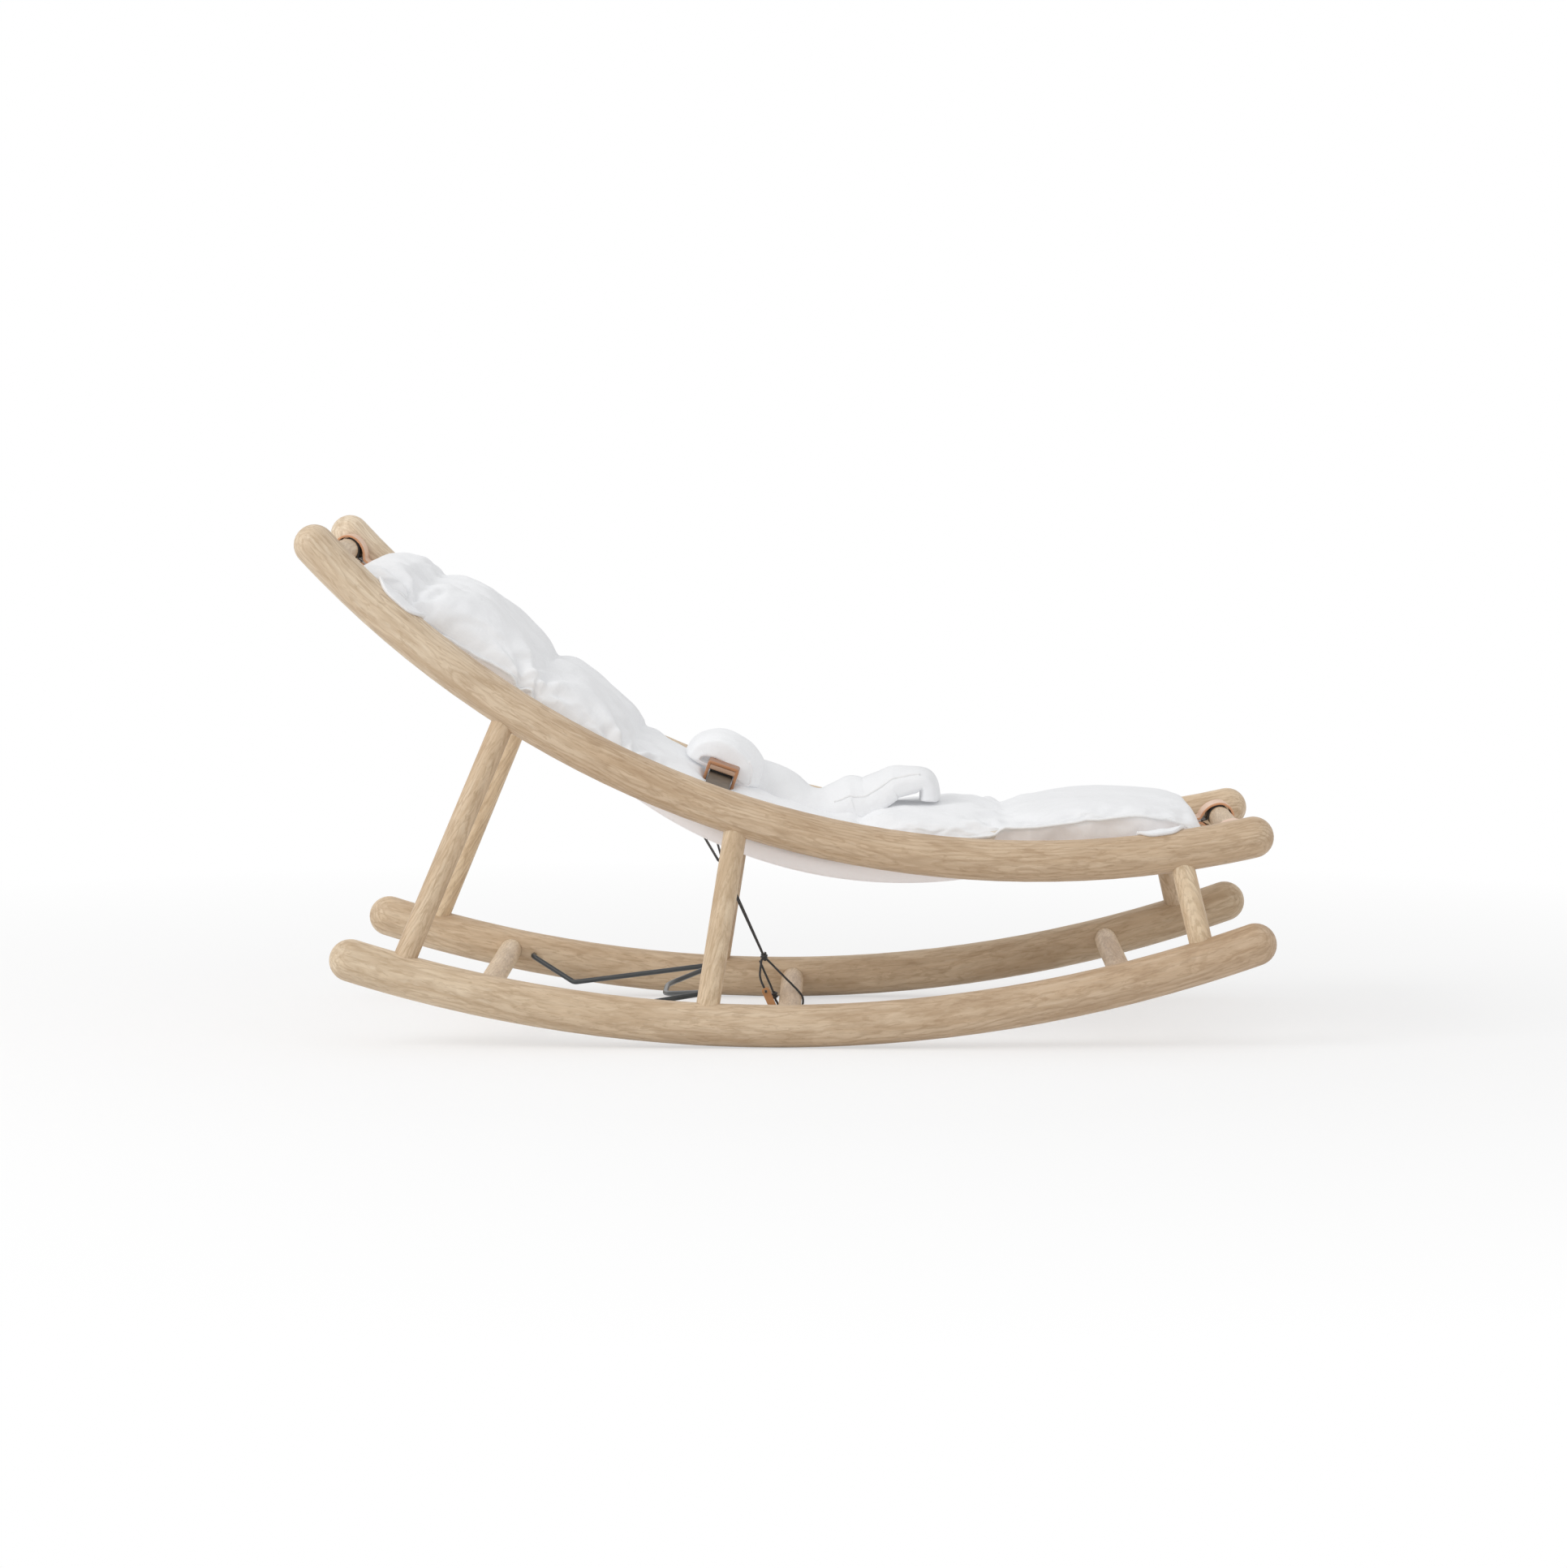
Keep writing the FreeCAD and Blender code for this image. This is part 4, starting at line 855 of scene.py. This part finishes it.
# a loop of cloth carried across the seat: each ring is the loop shrunk about its middle, full
# in the middle of the seat and a little less at the ends; past each end the rings close in on
# the slit that the keeper comes out of
def makeSleeve():
    loop = through(np.array(sleeve["loop"]) * (quiltLength, 1), sleeve["around"], closed=True)
    outside = np.linspace(-1, 1, sleeve["across"])
    size = 1 - sleeve["shrink"] * np.abs(outside) ** 3.0
    pivotShare, pivotRise = sleeve["pivot"]
    middle = np.array([pivotShare * quiltLength, loop[:, 1].mean() * pivotRise])
    rings = middle + (loop[None] - middle) * size[:, None, None]
    mouth = np.array(sleeve["mouth"])
    slit = np.array(sleeve["slitMiddle"]) * (quiltLength, 1)
    lips = slit + (rings[:1] - slit) * mouth[:, None, 1:]
    rings = np.concatenate([lips[::-1], rings, lips])
    side = np.concatenate([-mouth[::-1, 0], outside * sleeve["halfWidth"], mouth[:, 0]])[:, None]
    # soft folds over the outside, and a pressed hem line near each mouth
    around = np.arange(sleeve["around"])[None] / sleeve["around"]
    fromEnd = sleeve["halfWidth"] - np.abs(side)
    cellsAround, cell = sleeve["foldCells"]
    fold = ripple(around * cellsAround, side / cell + 3, 21) * sleeve["fold"]
    fold = fold * np.clip(fromEnd / sleeve["foldEnd"], 0, 1)
    hem = -sleeve["hem"] * hill(fromEnd, sleeve["hemIn"], sleeve["hemHalf"])
    rings = rings + unit(rings - middle) * (fold + hem)[..., None]
    points = overCushion(rings[..., 0] / quiltLength, rings[..., 1], side)
    piece = skin("harnessSleeve", points)
    subdivide(piece)
    settle(piece, sleeveCotton, "white_cotton", "harness_strap")
    # an edging along each end, on the side toward the strap
    count = sleeve["around"]
    edged = np.roll(np.arange(count), count // 6)[:count // 3]
    for name, row in (("Right", len(mouth)), ("Left", len(points) - 1 - len(mouth))):
        proud = math.copysign(sleeve["edgingProud"], points[row, 0, 1])
        edging = skin("sleeveHem" + name, tube(points[row, edged] + sideways * proud, sleeve["edging"], 8))
        settle(edging, sleeveCotton, "white_cotton")


makeSleeve()

strap = {"path": ((.474, .0215), (.500, .0235), (.522, .0228), (.545, .0170), (.563, .0118), (.578, .0120),
                  (.594, .0200), (.612, .0285), (.636, .0318), (.668, .0330), (.696, .0330), (.712, .0300),
                  (.7195, .0225), (.7205, .0130), (.7195, .0060)),
         "droop": ((.474, .019), (.530, .019), (.573, .008), (.600, .013), (.618, .0175), (.650, .012),
                   (.680, .006), (.712, .002), (.7205, .001)),
         "thickness": ((.474, .018), (.530, .022), (.565, .026), (.590, .030), (.605, .031), (.620, .028),
                       (.650, .027), (.680, .026), (.700, .024), (.712, .021), (.7205, .020)),
         "halfWidth": 0.0445, "topHalf": 0.00725, "rows": 120, "around": 56, "sideRound": 0.55,
         "faceRound": 0.62, "fold": 0.0017, "foldCells": (0.016, 2.2), "slowFold": 0.0016,
         "slowFoldCells": (0.05, 1.5), "gather": 0.0009, "gatherCells": (0.008, 0.8), "gatherReach": 0.16,
         "topFrom": 0.05, "foldBelow": 0.4, "leansForward": 0.3, "piping": 0.0012, "pipingTurn": 0.62,
         "pipingFrom": 0.588, "pipingTo": 0.705, "pipingProud": 0.0002}


# the strap's path over the cushion, and its upward direction square to it
def strapPath():
    route = through(np.array(strap["path"]) * (quiltLength, 1), strap["rows"])
    share = route[:, 0] / quiltLength
    places = overCushion(share, route[:, 1], 0.0)
    upward = -np.cross(unit(np.gradient(places, axis=0)), sideways)
    upward *= np.sign(upward @ (upZ + alongX * strap["leansForward"]))[:, None]
    return share, places, upward


# each ring is a flattened oval whose top stays at one height over the path and whose thickness
# is let down below it, its edges let down by the droop times the side squared
def makeStrap():
    share, places, upward = strapPath()
    droop, thickness = (np.interp(share, *np.array(strap[key]).T)[:, None] for key in ("droop", "thickness"))
    turn = np.linspace(0, 2 * np.pi, strap["around"], endpoint=False)[None]
    side = strap["halfWidth"] * squareOff(np.cos(turn), strap["sideRound"])
    half = thickness / 2
    rise = half * squareOff(np.sin(turn), strap["faceRound"]) + strap["topHalf"] - half
    sideShare = side / strap["halfWidth"]
    run = np.concatenate([[0], np.cumsum(np.linalg.norm(np.diff(places, axis=0), axis=1))])[:, None]
    strength = np.where(np.sin(turn) > strap["topFrom"], 1.0, strap["foldBelow"])
    fold, slowFold, gather = (
        strap[kind] * ripple(run / strap[kind + "Cells"][0], sideShare * strap[kind + "Cells"][1], seed)
        for kind, seed in (("fold", 33), ("slowFold", 34), ("gather", 35)))
    gather = gather * hill(1 - np.abs(sideShare), 0, strap["gatherReach"])
    rise = rise + (fold + slowFold + gather) * strength - droop * sideShare ** 2
    points = places[:, None] + upward[:, None] * rise[..., None]
    points = points + sideways * (side + 0 * rise)[..., None]
    piece = skin("harnessStrap", np.roll(points, -strap["around"] // 4, axis=1))
    subdivide(piece)
    settle(piece, cotton, "white_cotton", "harness_strap")
    sewn = (share > strap["pipingFrom"]) & (share < strap["pipingTo"])
    for name, angle in (("Right", np.pi - strap["pipingTurn"]), ("Left", strap["pipingTurn"])):
        column = int(round(angle / (2 * np.pi) * strap["around"]))
        path = points[sewn, column] + upward[sewn] * strap["pipingProud"]
        settle(skin("strapPiping" + name, tube(path, strap["piping"], 8)), pipingCotton, "white_cotton")


makeStrap()
print("harness padding made")


# flat straps
cutting = {"reach": 0.0007, "soft": 0.0003}


# closed profile of a flat strap: across its width, and off its face, with rounded corners
def strapProfile(width, thickness, corner, steps=10):
    turn = np.linspace(0, np.pi / 2, 4)
    bow = np.stack([np.cos(turn), np.sin(turn)], -1) * corner
    flatTop = np.linspace(width / 2 - corner, -width / 2 + corner, steps)[1:-1]
    top = np.stack([flatTop, np.full(len(flatTop), thickness / 2)], -1)
    rightTop = bow + (width / 2 - corner, thickness / 2 - corner)
    leftTop = bow[::-1] * (-1, 1) + (-width / 2 + corner, thickness / 2 - corner)
    upper = np.concatenate([rightTop, top, leftTop])
    return np.concatenate([upper, -upper])


# straight runs and bends in a plane: even steps along each, the heading turning in the bends
def walk(start, heading, runs, step=0.0015):
    places, headings = [np.asarray(start, float)[None]], [np.array([heading])]
    for length, turn in runs:
        count = max(int(np.ceil(length / step)), 4)
        share = np.linspace(0, 1, count + 1)[1:]
        angle = heading + turn * share
        middle = heading + turn * share / 2
        chord = length * share * np.where(abs(turn) > 1e-9, np.sinc(turn * share / 2 / np.pi), 1.0)
        places.append(places[-1][-1] + np.stack([np.cos(middle), np.sin(middle)], -1) * chord[:, None])
        headings.append(angle)
        heading += turn
    return np.concatenate(places), np.concatenate(headings)


# the profile carried along a flat path, set out by the plane's two directions and the width's;
# cutEdge is 1 near both of its sides and at its ends
def flatStrap(name, path, headings, profile, origin, first, second, widthways, closed=False):
    centre = np.asarray(origin) + path[:, :1] * first + path[:, 1:2] * second
    off = -np.sin(headings)[:, None] * first + np.cos(headings)[:, None] * second
    points = centre[:, None] + profile[None, :, :1] * widthways + profile[None, :, 1:2] * off[:, None]
    width = np.abs(profile[:, 0]).max()
    cut = np.clip((np.abs(profile[:, 0]) - width + cutting["reach"]) / cutting["soft"], 0, 1)
    if closed:
        points = np.concatenate([points, points[:1]])
    edge = np.tile(cut, (len(points), 1))
    if not closed:
        edge[:2] = edge[-2:] = 1
    return skin(name, points, zipped=not closed, extra={"cutEdge": edge})


# leather loops and tabs
hanging = {"dowelRadius": 0.011, "hookRoom": 0.00075, "slack": 0.0003, "gap": 0.0003, "waist": 0.004,
           "cheek": 0.0215, "tail": 0.005, "headMiddle": 0.123, "footMiddle": 0.107,
           "width": 0.042, "leather": 0.0022, "leatherEdge": 0.0006,
           "tabWidth": 0.036, "tab": 0.0016, "tabEdge": 0.0005, "tabStart": 0.0142, "tabEnd": 0.0305}
corners = (("head", seatLine["head"], -headSlope, 1), ("foot", seatLine["foot"], math.pi + footSlope, -1))


# each loop runs over the hook plate and round the dowel: a straight tail, a waist, a cheek, a
# half circle, and back, the lower side closer to the dowel by the hook plate's room
def makeHanging():
    h = hanging
    wrap = h["dowelRadius"] + h["slack"] + h["hookRoom"] + h["leather"] / 2
    offset = h["tab"] / 2 + h["gap"] + h["leather"] / 2
    bends = h["waist"] + h["cheek"]
    turns = [math.acos(1 - (wrap + shift - offset) / bends) for shift in (h["hookRoom"], -h["hookRoom"])]
    reach = bends * math.sin(turns[0]) + h["tail"]
    loopProfile = strapProfile(h["width"], h["leather"], h["leatherEdge"])
    tabProfile = strapProfile(h["tabWidth"], h["tab"], h["tabEdge"])
    for end, dowel, pull, over in corners:
        toward = np.array([math.cos(pull), math.sin(pull)])
        leftOf = np.array([-math.sin(pull), math.cos(pull)])
        start = np.array(dowel) + toward * reach + leftOf * over * offset
        above, below = ([(reach - bends * math.sin(turn), 0), (h["waist"] * turn, -over * turn),
                         (h["cheek"] * turn, over * turn)] for turn in turns)
        loopWalk = walk(start, pull + math.pi, above + [(wrap * math.pi, over * math.pi)] + below[::-1])
        tabWalk = walk(np.array(dowel) + toward * h["tabStart"], pull, [(h["tabEnd"] - h["tabStart"], 0)])
        for name, sign in bothSides:
            middle = sideways * sign * h[end + "Middle"]
            suffix, node = end.title() + name.title(), "_%s_%s" % (end, name)
            loop = flatStrap("leatherLoop" + suffix, *loopWalk, loopProfile, middle, alongX, upZ, sideways)
            settle(loop, leathers["tan"], "tan_leather", "leather_loop" + node)
            tab = flatStrap("webbingTab" + suffix, *tabWalk, tabProfile, middle, alongX, upZ, sideways)
            settle(tab, tapeCloth, "white_cotton", "webbing_tab" + node)


makeHanging()
print("leather loops and tabs made")

# keepers and belts
keeper = {"share": 0.450, "middleSide": 0.0755, "middle": (-0.062848, 0.245482), "lean": math.radians(6.578),
          "turn": math.radians(8), "width": 0.031, "height": 0.026, "depth": 0.019, "wall": 0.003,
          "brow": 0.008, "browInset": 0.0024, "browNarrower": 0.0008, "corner": 0.0025,
          "edge": 0.0007, "browEdge": 0.0012, "step": 0.0008}
belt = {"thickness": 0.0026, "width": 0.023, "edge": 0.0006, "clearance": 0.001, "bend": 0.008,
        "startSide": 0.050, "shoulder": 0.74, "endRise": 0.019, "lift": 0.0035}


# a leather ring over the pad, a thick brow under its top, and the belt through the room below
def makeKeepersAndBelts():
    k = keeper
    distance = quilt["start"] + k["share"] * quiltLength
    heading = float(slopeAt(distance)) + k["turn"]
    along = math.cos(heading) * alongX + math.sin(heading) * upZ
    upward = math.cos(heading) * upZ - math.sin(heading) * alongX
    inset = k["wall"] / 2
    bend = k["corner"] - inset
    ringRuns = []
    for size in (k["width"], k["height"]) * 2:
        ringRuns += [(size - 2 * k["corner"], 0), (bend * math.pi / 2, math.pi / 2)]
    path, headings = walk((k["corner"] - k["width"] / 2, inset - k["height"] / 2), 0.0, ringRuns,
                          k["step"])
    browThick = k["brow"] - k["wall"]
    browWalk = walk((k["browInset"] - k["width"] / 2, k["height"] / 2 - k["wall"] - browThick / 2), 0.0,
                    [(k["width"] - 2 * k["browInset"], 0)])
    ringProfile = strapProfile(k["depth"], k["wall"], k["edge"])
    browProfile = strapProfile(k["depth"] - k["browNarrower"], browThick, k["browEdge"])
    middle = k["middle"][0] * alongX + k["middle"][1] * upZ
    rise = float((middle - onSling(distance, 0.0, 0.0)) @ upward)
    for name, sign in bothSides:
        tilt = -sign * k["lean"]
        up = upward * math.cos(tilt) - sideways * math.sin(tilt)
        out = sideways * math.cos(tilt) + upward * math.sin(tilt)
        place = middle + sideways * sign * k["middleSide"]
        ring = flatStrap("beltKeeper" + name.title(), path[:-1], headings[:-1], ringProfile,
                         place, along, up, out, closed=True)
        settle(ring, leathers["brown"], "brown_leather", "harness_keeper_" + name)
        brow = flatStrap("keeperBrow" + name.title(), *browWalk, browProfile, place, along, up, out)
        settle(brow, leathers["brow"], "brown_leather", "harness_keeper_" + name)
        makeBelt(name, sign, along, upward, middle, rise)


# the belt's path in the plane across the seat: out through the keeper, over the cushion's
# shoulder and down beside it, with two round bends
def makeBelt(name, sign, along, upward, middle, rise):
    crown = float(crownAt(keeper["share"]))
    shoulder = quilt["floor"] + (crown - quilt["floor"]) * belt["shoulder"]
    outer = quilt["halfWidth"] + belt["clearance"] + belt["thickness"] / 2
    room = (keeper["wall"] - keeper["brow"]) / 2 + belt["lift"]
    endSide = keeper["middleSide"] + keeper["depth"] / 2 + belt["bend"]
    spots = [(side, room - (side - keeper["middleSide"]) * math.tan(keeper["lean"]))
             for side in (belt["startSide"], endSide)]
    spots += [(outer, shoulder + belt["clearance"] + belt["bend"] - rise), (outer, belt["endRise"] - rise)]
    steps = np.diff(spots, axis=0)
    angles = np.arctan2(steps[:, 1], steps[:, 0])
    turns = np.diff(angles)
    back = belt["bend"] * np.abs(np.tan(turns / 2))
    lengths = np.hypot(*steps.T) - np.append(back, 0) - np.append(0, back)
    runs = [(lengths[0], 0)]
    for turn, length in zip(turns, lengths[1:]):
        runs += [(belt["bend"] * abs(turn), turn), (length, 0)]
    piece = flatStrap("harnessBelt" + name.title(), *walk(spots[0], angles[0], runs),
                      strapProfile(belt["width"], belt["thickness"], belt["edge"]),
                      middle, sideways * sign, upward, along)
    settle(piece, leathers["dark"], "dark_leather", "harness_belt_" + name)


makeKeepersAndBelts()
print("keepers and belts made")

# corner ties
tie = {"headX": -0.374, "footX": 0.356, "headLength": 0.058, "footLength": 0.046, "poleRadius": 0.0195,
       "fit": 0.0003, "thickness": 0.0030, "hem": 0.0006, "hemShare": 0.17, "slack": 0.0005,
       "headOuter": math.radians(-38), "footOuter": math.radians(-29), "inner": math.radians(80),
       "bow": math.radians(46), "outerHem": 1.5, "slackCells": 3, "steps": (31, 30)}


# a cloth band on the rail: along the rail's arc, and round the pole from its inner side over
# the top; the outer hem is a bow, furthest out in the middle of the band
def makeTies():
    pole = poles["rail"]
    alongShare = np.linspace(-1, 1, tie["steps"][0])[:, None]
    roundShare = np.linspace(0, 1, tie["steps"][1])[None]
    edge = np.minimum(1 - np.abs(alongShare), (1 - roundShare) * tie["outerHem"])
    hem = np.where(edge < tie["hemShare"], tie["hem"], 0.0)
    for end in ("head", "foot"):
        start = math.asin((tie[end + "X"] - pole["middle"][0]) / pole["radius"])
        angle = start + alongShare * tie[end + "Length"] / 2 / pole["radius"]
        outer = tie[end + "Outer"] + tie["bow"] * np.abs(alongShare) ** 4
        around = tie["inner"] + (outer - tie["inner"]) * roundShare
        inside = tie["poleRadius"] + tie["fit"] + 0 * around
        cells = tie["slackCells"]
        slack = ripple(alongShare * cells + 9, around * cells, 41) * tie["slack"]
        for name, sign in bothSides:
            layers = []
            for radius in (inside, inside + tie["thickness"] + hem + slack):
                spokes = pole["radius"] - radius * np.cos(around)
                layers.append(np.stack([pole["middle"][0] + spokes * np.sin(angle),
                                        sign * (pole["side"] - radius * np.sin(around)),
                                        pole["middle"][1] - spokes * np.cos(angle)], -1))
            piece = skin("cornerTie%s%s" % (end.title(), name.title()),
                         np.concatenate([layers[0], layers[1][:, ::-1]], axis=1))
            settle(piece, cotton, "white_cotton", "corner_tie_%s_%s" % (end, name))


makeTies()
print("corner ties made")

# blank label
label = {"share": 0.783, "width": 0.008, "drop": 0.017, "side": 0.1362, "lean": 0.70,
         "thickness": 0.0007, "bow": 0.0010}


# a folded tape end: rows down from the seam, curving out a little, doubled by its thickness
def makeLabel():
    down = np.linspace(0, 1, 12)[:, None]
    acrossShare = np.linspace(-0.5, 0.5, 7)[None]
    distance = (quilt["start"] + label["share"] * quiltLength + acrossShare * label["width"]
                - down * label["drop"] * label["lean"])
    lift = float(np.interp(label["share"], quilt["seamShare"], quilt["seam"])) - down * label["drop"]
    bow = label["bow"] * np.sin(down * np.pi)
    front, back = (onSling(distance, lift, -(label["side"] + thick + bow))
                   for thick in (0.0, label["thickness"]))
    piece = skin("blankLabel", np.concatenate([front, back[:, ::-1]], axis=1))
    settle(piece, labelCloth, "label_cloth", "blank_label")


makeLabel()

# cords under the seat
cords = {"width": 0.0022, "colour": (0.035, 0.033, 0.032), "upperKnot": (-0.0225, -0.004, 0.0635),
         "lowerKnot": (-0.0125, -0.004, 0.0255), "fold": (-0.06566, 0.0, 0.15849),
         "dowel": (0.003, 0.02004), "wrap": 0.012834, "wrapFrom": 58, "wrapTo": -200, "wrapStep": -23.4,
         "strand": (("upperKnot", 0.0018, 0.0026), ("upperKnot", 0.006, 0.03), ("fold", 0.0108, -0.01728),
                    ("fold", 0.0108, -0.003), ("fold", 0.009, 0), ("fold", 0.004, 0)),
         "lashingStart": (0.0011, 0, -0.0011),
         "lashingEnd": (("lowerKnot", (0.0012, 0, -0.005)), ("lowerKnot", (-0.0006, 0, 0.003)),
                        ("upperKnot", (-0.0030, 0, -0.0075)), ("upperKnot", (-0.004, 0, -0.004))),
         "tail": ((-0.0260, -0.0065, 0.053), (-0.0268, -0.0072, 0.043), (-0.0215, -0.0072, 0.0312),
                  (-0.0204, -0.0105, 0.0304), (-0.0205, -0.0170, 0.0305))}
knot = {"radius": 0.0026, "height": 0.0072, "cord": 0.0012, "open": 0.12, "oval": 1.05, "length": 0.05,
        "upperTurns": 3.2, "lowerTurns": 2.6}
anchor = {"points": ((-0.08901, 0.19439), (-0.05978, 0.14450), (-0.07099, 0.18570)), "bend": 0.0020,
          "width": 0.014, "thickness": 0.0015, "edge": 0.0004, "braid": (0.09, 0.004, (0.05, 0.05, 0.05))}


# a cord on a smooth spline whose control points are the given places
def layCord(name, places, replaced):
    line = bpy.data.curves.new(name, "CURVE")
    line.dimensions = "3D"
    line.bevel_depth = cords["width"] / 2
    line.bevel_resolution = 3
    line.resolution_u = 16
    line.use_fill_caps = True
    spline = line.splines.new("NURBS")
    spline.points.add(len(places) - 1)
    for point, place in zip(spline.points, places):
        point.co = (*place, 1)
    spline.order_u = 3
    spline.use_endpoint_u = True
    length = float(np.linalg.norm(np.diff(np.array(places), axis=0), axis=1).sum())
    braid = cordFinish(name + "Braid", length, cords["width"], cords["colour"])
    settle(addObject(name, line), braid, "black_cord", replaced)


# the doubled cord up to the anchor's fold and back, the lashing wound round the dowel and tied
# to both knots, and the slack tail, each by its own places
def layCords():
    spots = {key: np.array(cords[key]) for key in ("upperKnot", "lowerKnot", "fold")}
    upper = spots["upperKnot"]
    rise = unit(spots["fold"] - upper)
    there, back = ([spots[at] + sideways * sign * wide + rise * up for at, wide, up in cords["strand"]]
                   for sign in (1, -1))
    layCord("seatCord", there + back[::-1], "seat_cord")
    x, z = cords["dowel"]
    turns = np.radians(np.arange(cords["wrapFrom"], cords["wrapTo"], cords["wrapStep"]))
    ring = [np.array([x + cords["wrap"] * math.cos(t), upper[1], z + cords["wrap"] * math.sin(t)])
            for t in turns]
    layCord("cordLashing", [upper + cords["lashingStart"], (upper + ring[0]) / 2, *ring[1:-1],
                            *(spots[at] + off for at, off in cords["lashingEnd"])], "cord_lashing")
    layCord("cordTail", [upper - cords["width"], *np.array(cords["tail"])], "cord_tail")


# a knot is a thin tube wound round its middle: a spiral that runs over a small ball
def tieKnot(name, middle, turns, replaced):
    t = np.linspace(0, 1, 90)[:, None]
    swing = t * 2 * np.pi * turns
    radius = knot["radius"] * np.sin(np.pi * (knot["open"] + (1 - 2 * knot["open"]) * t))
    path = np.array(middle) + np.concatenate([radius * np.cos(swing), radius * np.sin(swing) * knot["oval"],
                                              (t - 0.5) * knot["height"]], axis=1)
    braid = cordFinish(name + "Braid", knot["length"], cords["width"], cords["colour"])
    settle(skin(name, tube(path, knot["cord"], 8, upZ)), braid, "black_cord", replaced)


# the webbing that the cord pulls on: a strip from under the sling down to a narrow fold and back
def sewAnchor():
    first, corner, last = (np.array(p) for p in anchor["points"])
    down, up = unit(corner - first), unit(last - corner)
    start = math.atan2(down[1], down[0])
    turn = math.remainder(math.atan2(up[1], up[0]) - start, 2 * math.pi)
    back = anchor["bend"] * abs(math.tan(turn / 2))
    runs = [(np.linalg.norm(corner - first) - back, 0), (anchor["bend"] * abs(turn), turn),
            (np.linalg.norm(last - corner) - back, 0)]
    profile = strapProfile(anchor["width"], anchor["thickness"], anchor["edge"])
    piece = flatStrap("cordAnchor", *walk(first, start, runs), profile, (0, 0, 0), alongX, upZ, sideways)
    settle(piece, cordFinish("anchorWebbing", *anchor["braid"]), "black_cord", "cord_anchor")


layCords()
tieKnot("cordKnotUpper", cords["upperKnot"], knot["upperTurns"], "cord_knot_upper")
tieKnot("cordKnotLower", cords["lowerKnot"], knot["lowerTurns"], "cord_knot_lower")
sewAnchor()
print("cords tied")

# floor and light
studio = {"floor": (0.93, 0.93, 0.93), "floorSize": 14.0, "floorRoughness": 0.9, "floorShine": 0.1,
          "fadeOver": 3.0, "fade": ((0.22, 0.55), (0.55, 1.0)), "horizon": 0.46, "zenith": 0.92,
          "aim": (0, 0, 0.2), "lampSize": 2.4,
          "lamps": {"keyLamp": ((-3.0, -2.0, 2.5), 56.0), "fillLamp": ((2.6, -2.6, 1.6), 6.0)}}


def addLamp(name, place, power):
    lamp = bpy.data.lights.new(name, "AREA")
    lamp.shape = "DISK"
    lamp.size = studio["lampSize"]
    lamp.energy = power
    holder = addObject(name, lamp)
    holder.location = place
    x, y, z = np.subtract(studio["aim"], place)
    holder.rotation_euler = (math.atan2(math.hypot(x, y), -z), 0, math.atan2(y, x) - math.pi / 2)


# 1 for rays that come straight from the camera, off a gloss or through glass
def seenDirectly(tree):
    rays = add(tree, "LightPath").outputs
    camera, glossy, clear = (rays["Is %s Ray" % kind] for kind in ("Camera", "Glossy", "Transmission"))
    return calc(tree, "MAXIMUM", camera, calc(tree, "MAXIMUM", glossy, clear))


# pale floor whose far part is plain white to the camera, so that no horizon shows
def layFloor():
    size = studio["floorSize"] / 2
    grid = np.stack(np.meshgrid(np.linspace(-size, size, 3), np.linspace(-size, size, 3)), -1)
    floor = skin("studioFloor", np.concatenate([grid, np.zeros((3, 3, 1))], -1),
                 around=False, zipped=False, smooth=False)
    material, tree, shader = newFinish("floorPaint")
    feed(tree, shader, {"Base Color": studio["floor"], "Roughness": studio["floorRoughness"],
                        "Specular IOR Level": studio["floorShine"]})
    plain = add(tree, "Emission", {"Color": (1, 1, 1), "Strength": 1.0})
    level = vectorCalc(tree, "MULTIPLY", objectPlace(tree), (1, 1, 0))
    away = calc(tree, "DIVIDE", vectorCalc(tree, "LENGTH", level), studio["fadeOver"])
    shown = times(tree, seenDirectly(tree), ramp(tree, away, studio["fade"]))
    mixed = add(tree, "MixShader", {0: shown, 1: shader.outputs[0], 2: plain.outputs[0]})
    feed(tree, tree.nodes["Material Output"], {"Surface": mixed.outputs[0]})
    paint(floor, material)


# the sky's light grows with height, and is plain white where it is seen directly
def lightStudio():
    world = bpy.data.worlds.new("studioWorld")
    world.use_nodes = True
    bpy.context.scene.world = world
    sky = world.node_tree
    height = add(sky, "SeparateXYZ", {0: add(sky, "TexCoord").outputs["Generated"]}).outputs[2]
    strength = spread(sky, calc(sky, "MAXIMUM", height, 0.0), studio["horizon"], studio["zenith"])
    shown = add(sky, "Mix", {0: seenDirectly(sky), 2: strength, 3: 1.0}).outputs[0]
    feed(sky, sky.nodes["Background"], {"Color": (1, 1, 1), "Strength": shown})
    for name, (place, power) in studio["lamps"].items():
        addLamp(name, place, power)
    bpy.context.scene.view_settings.view_transform = "Standard"


layFloor()
lightStudio()
print("studio lit")
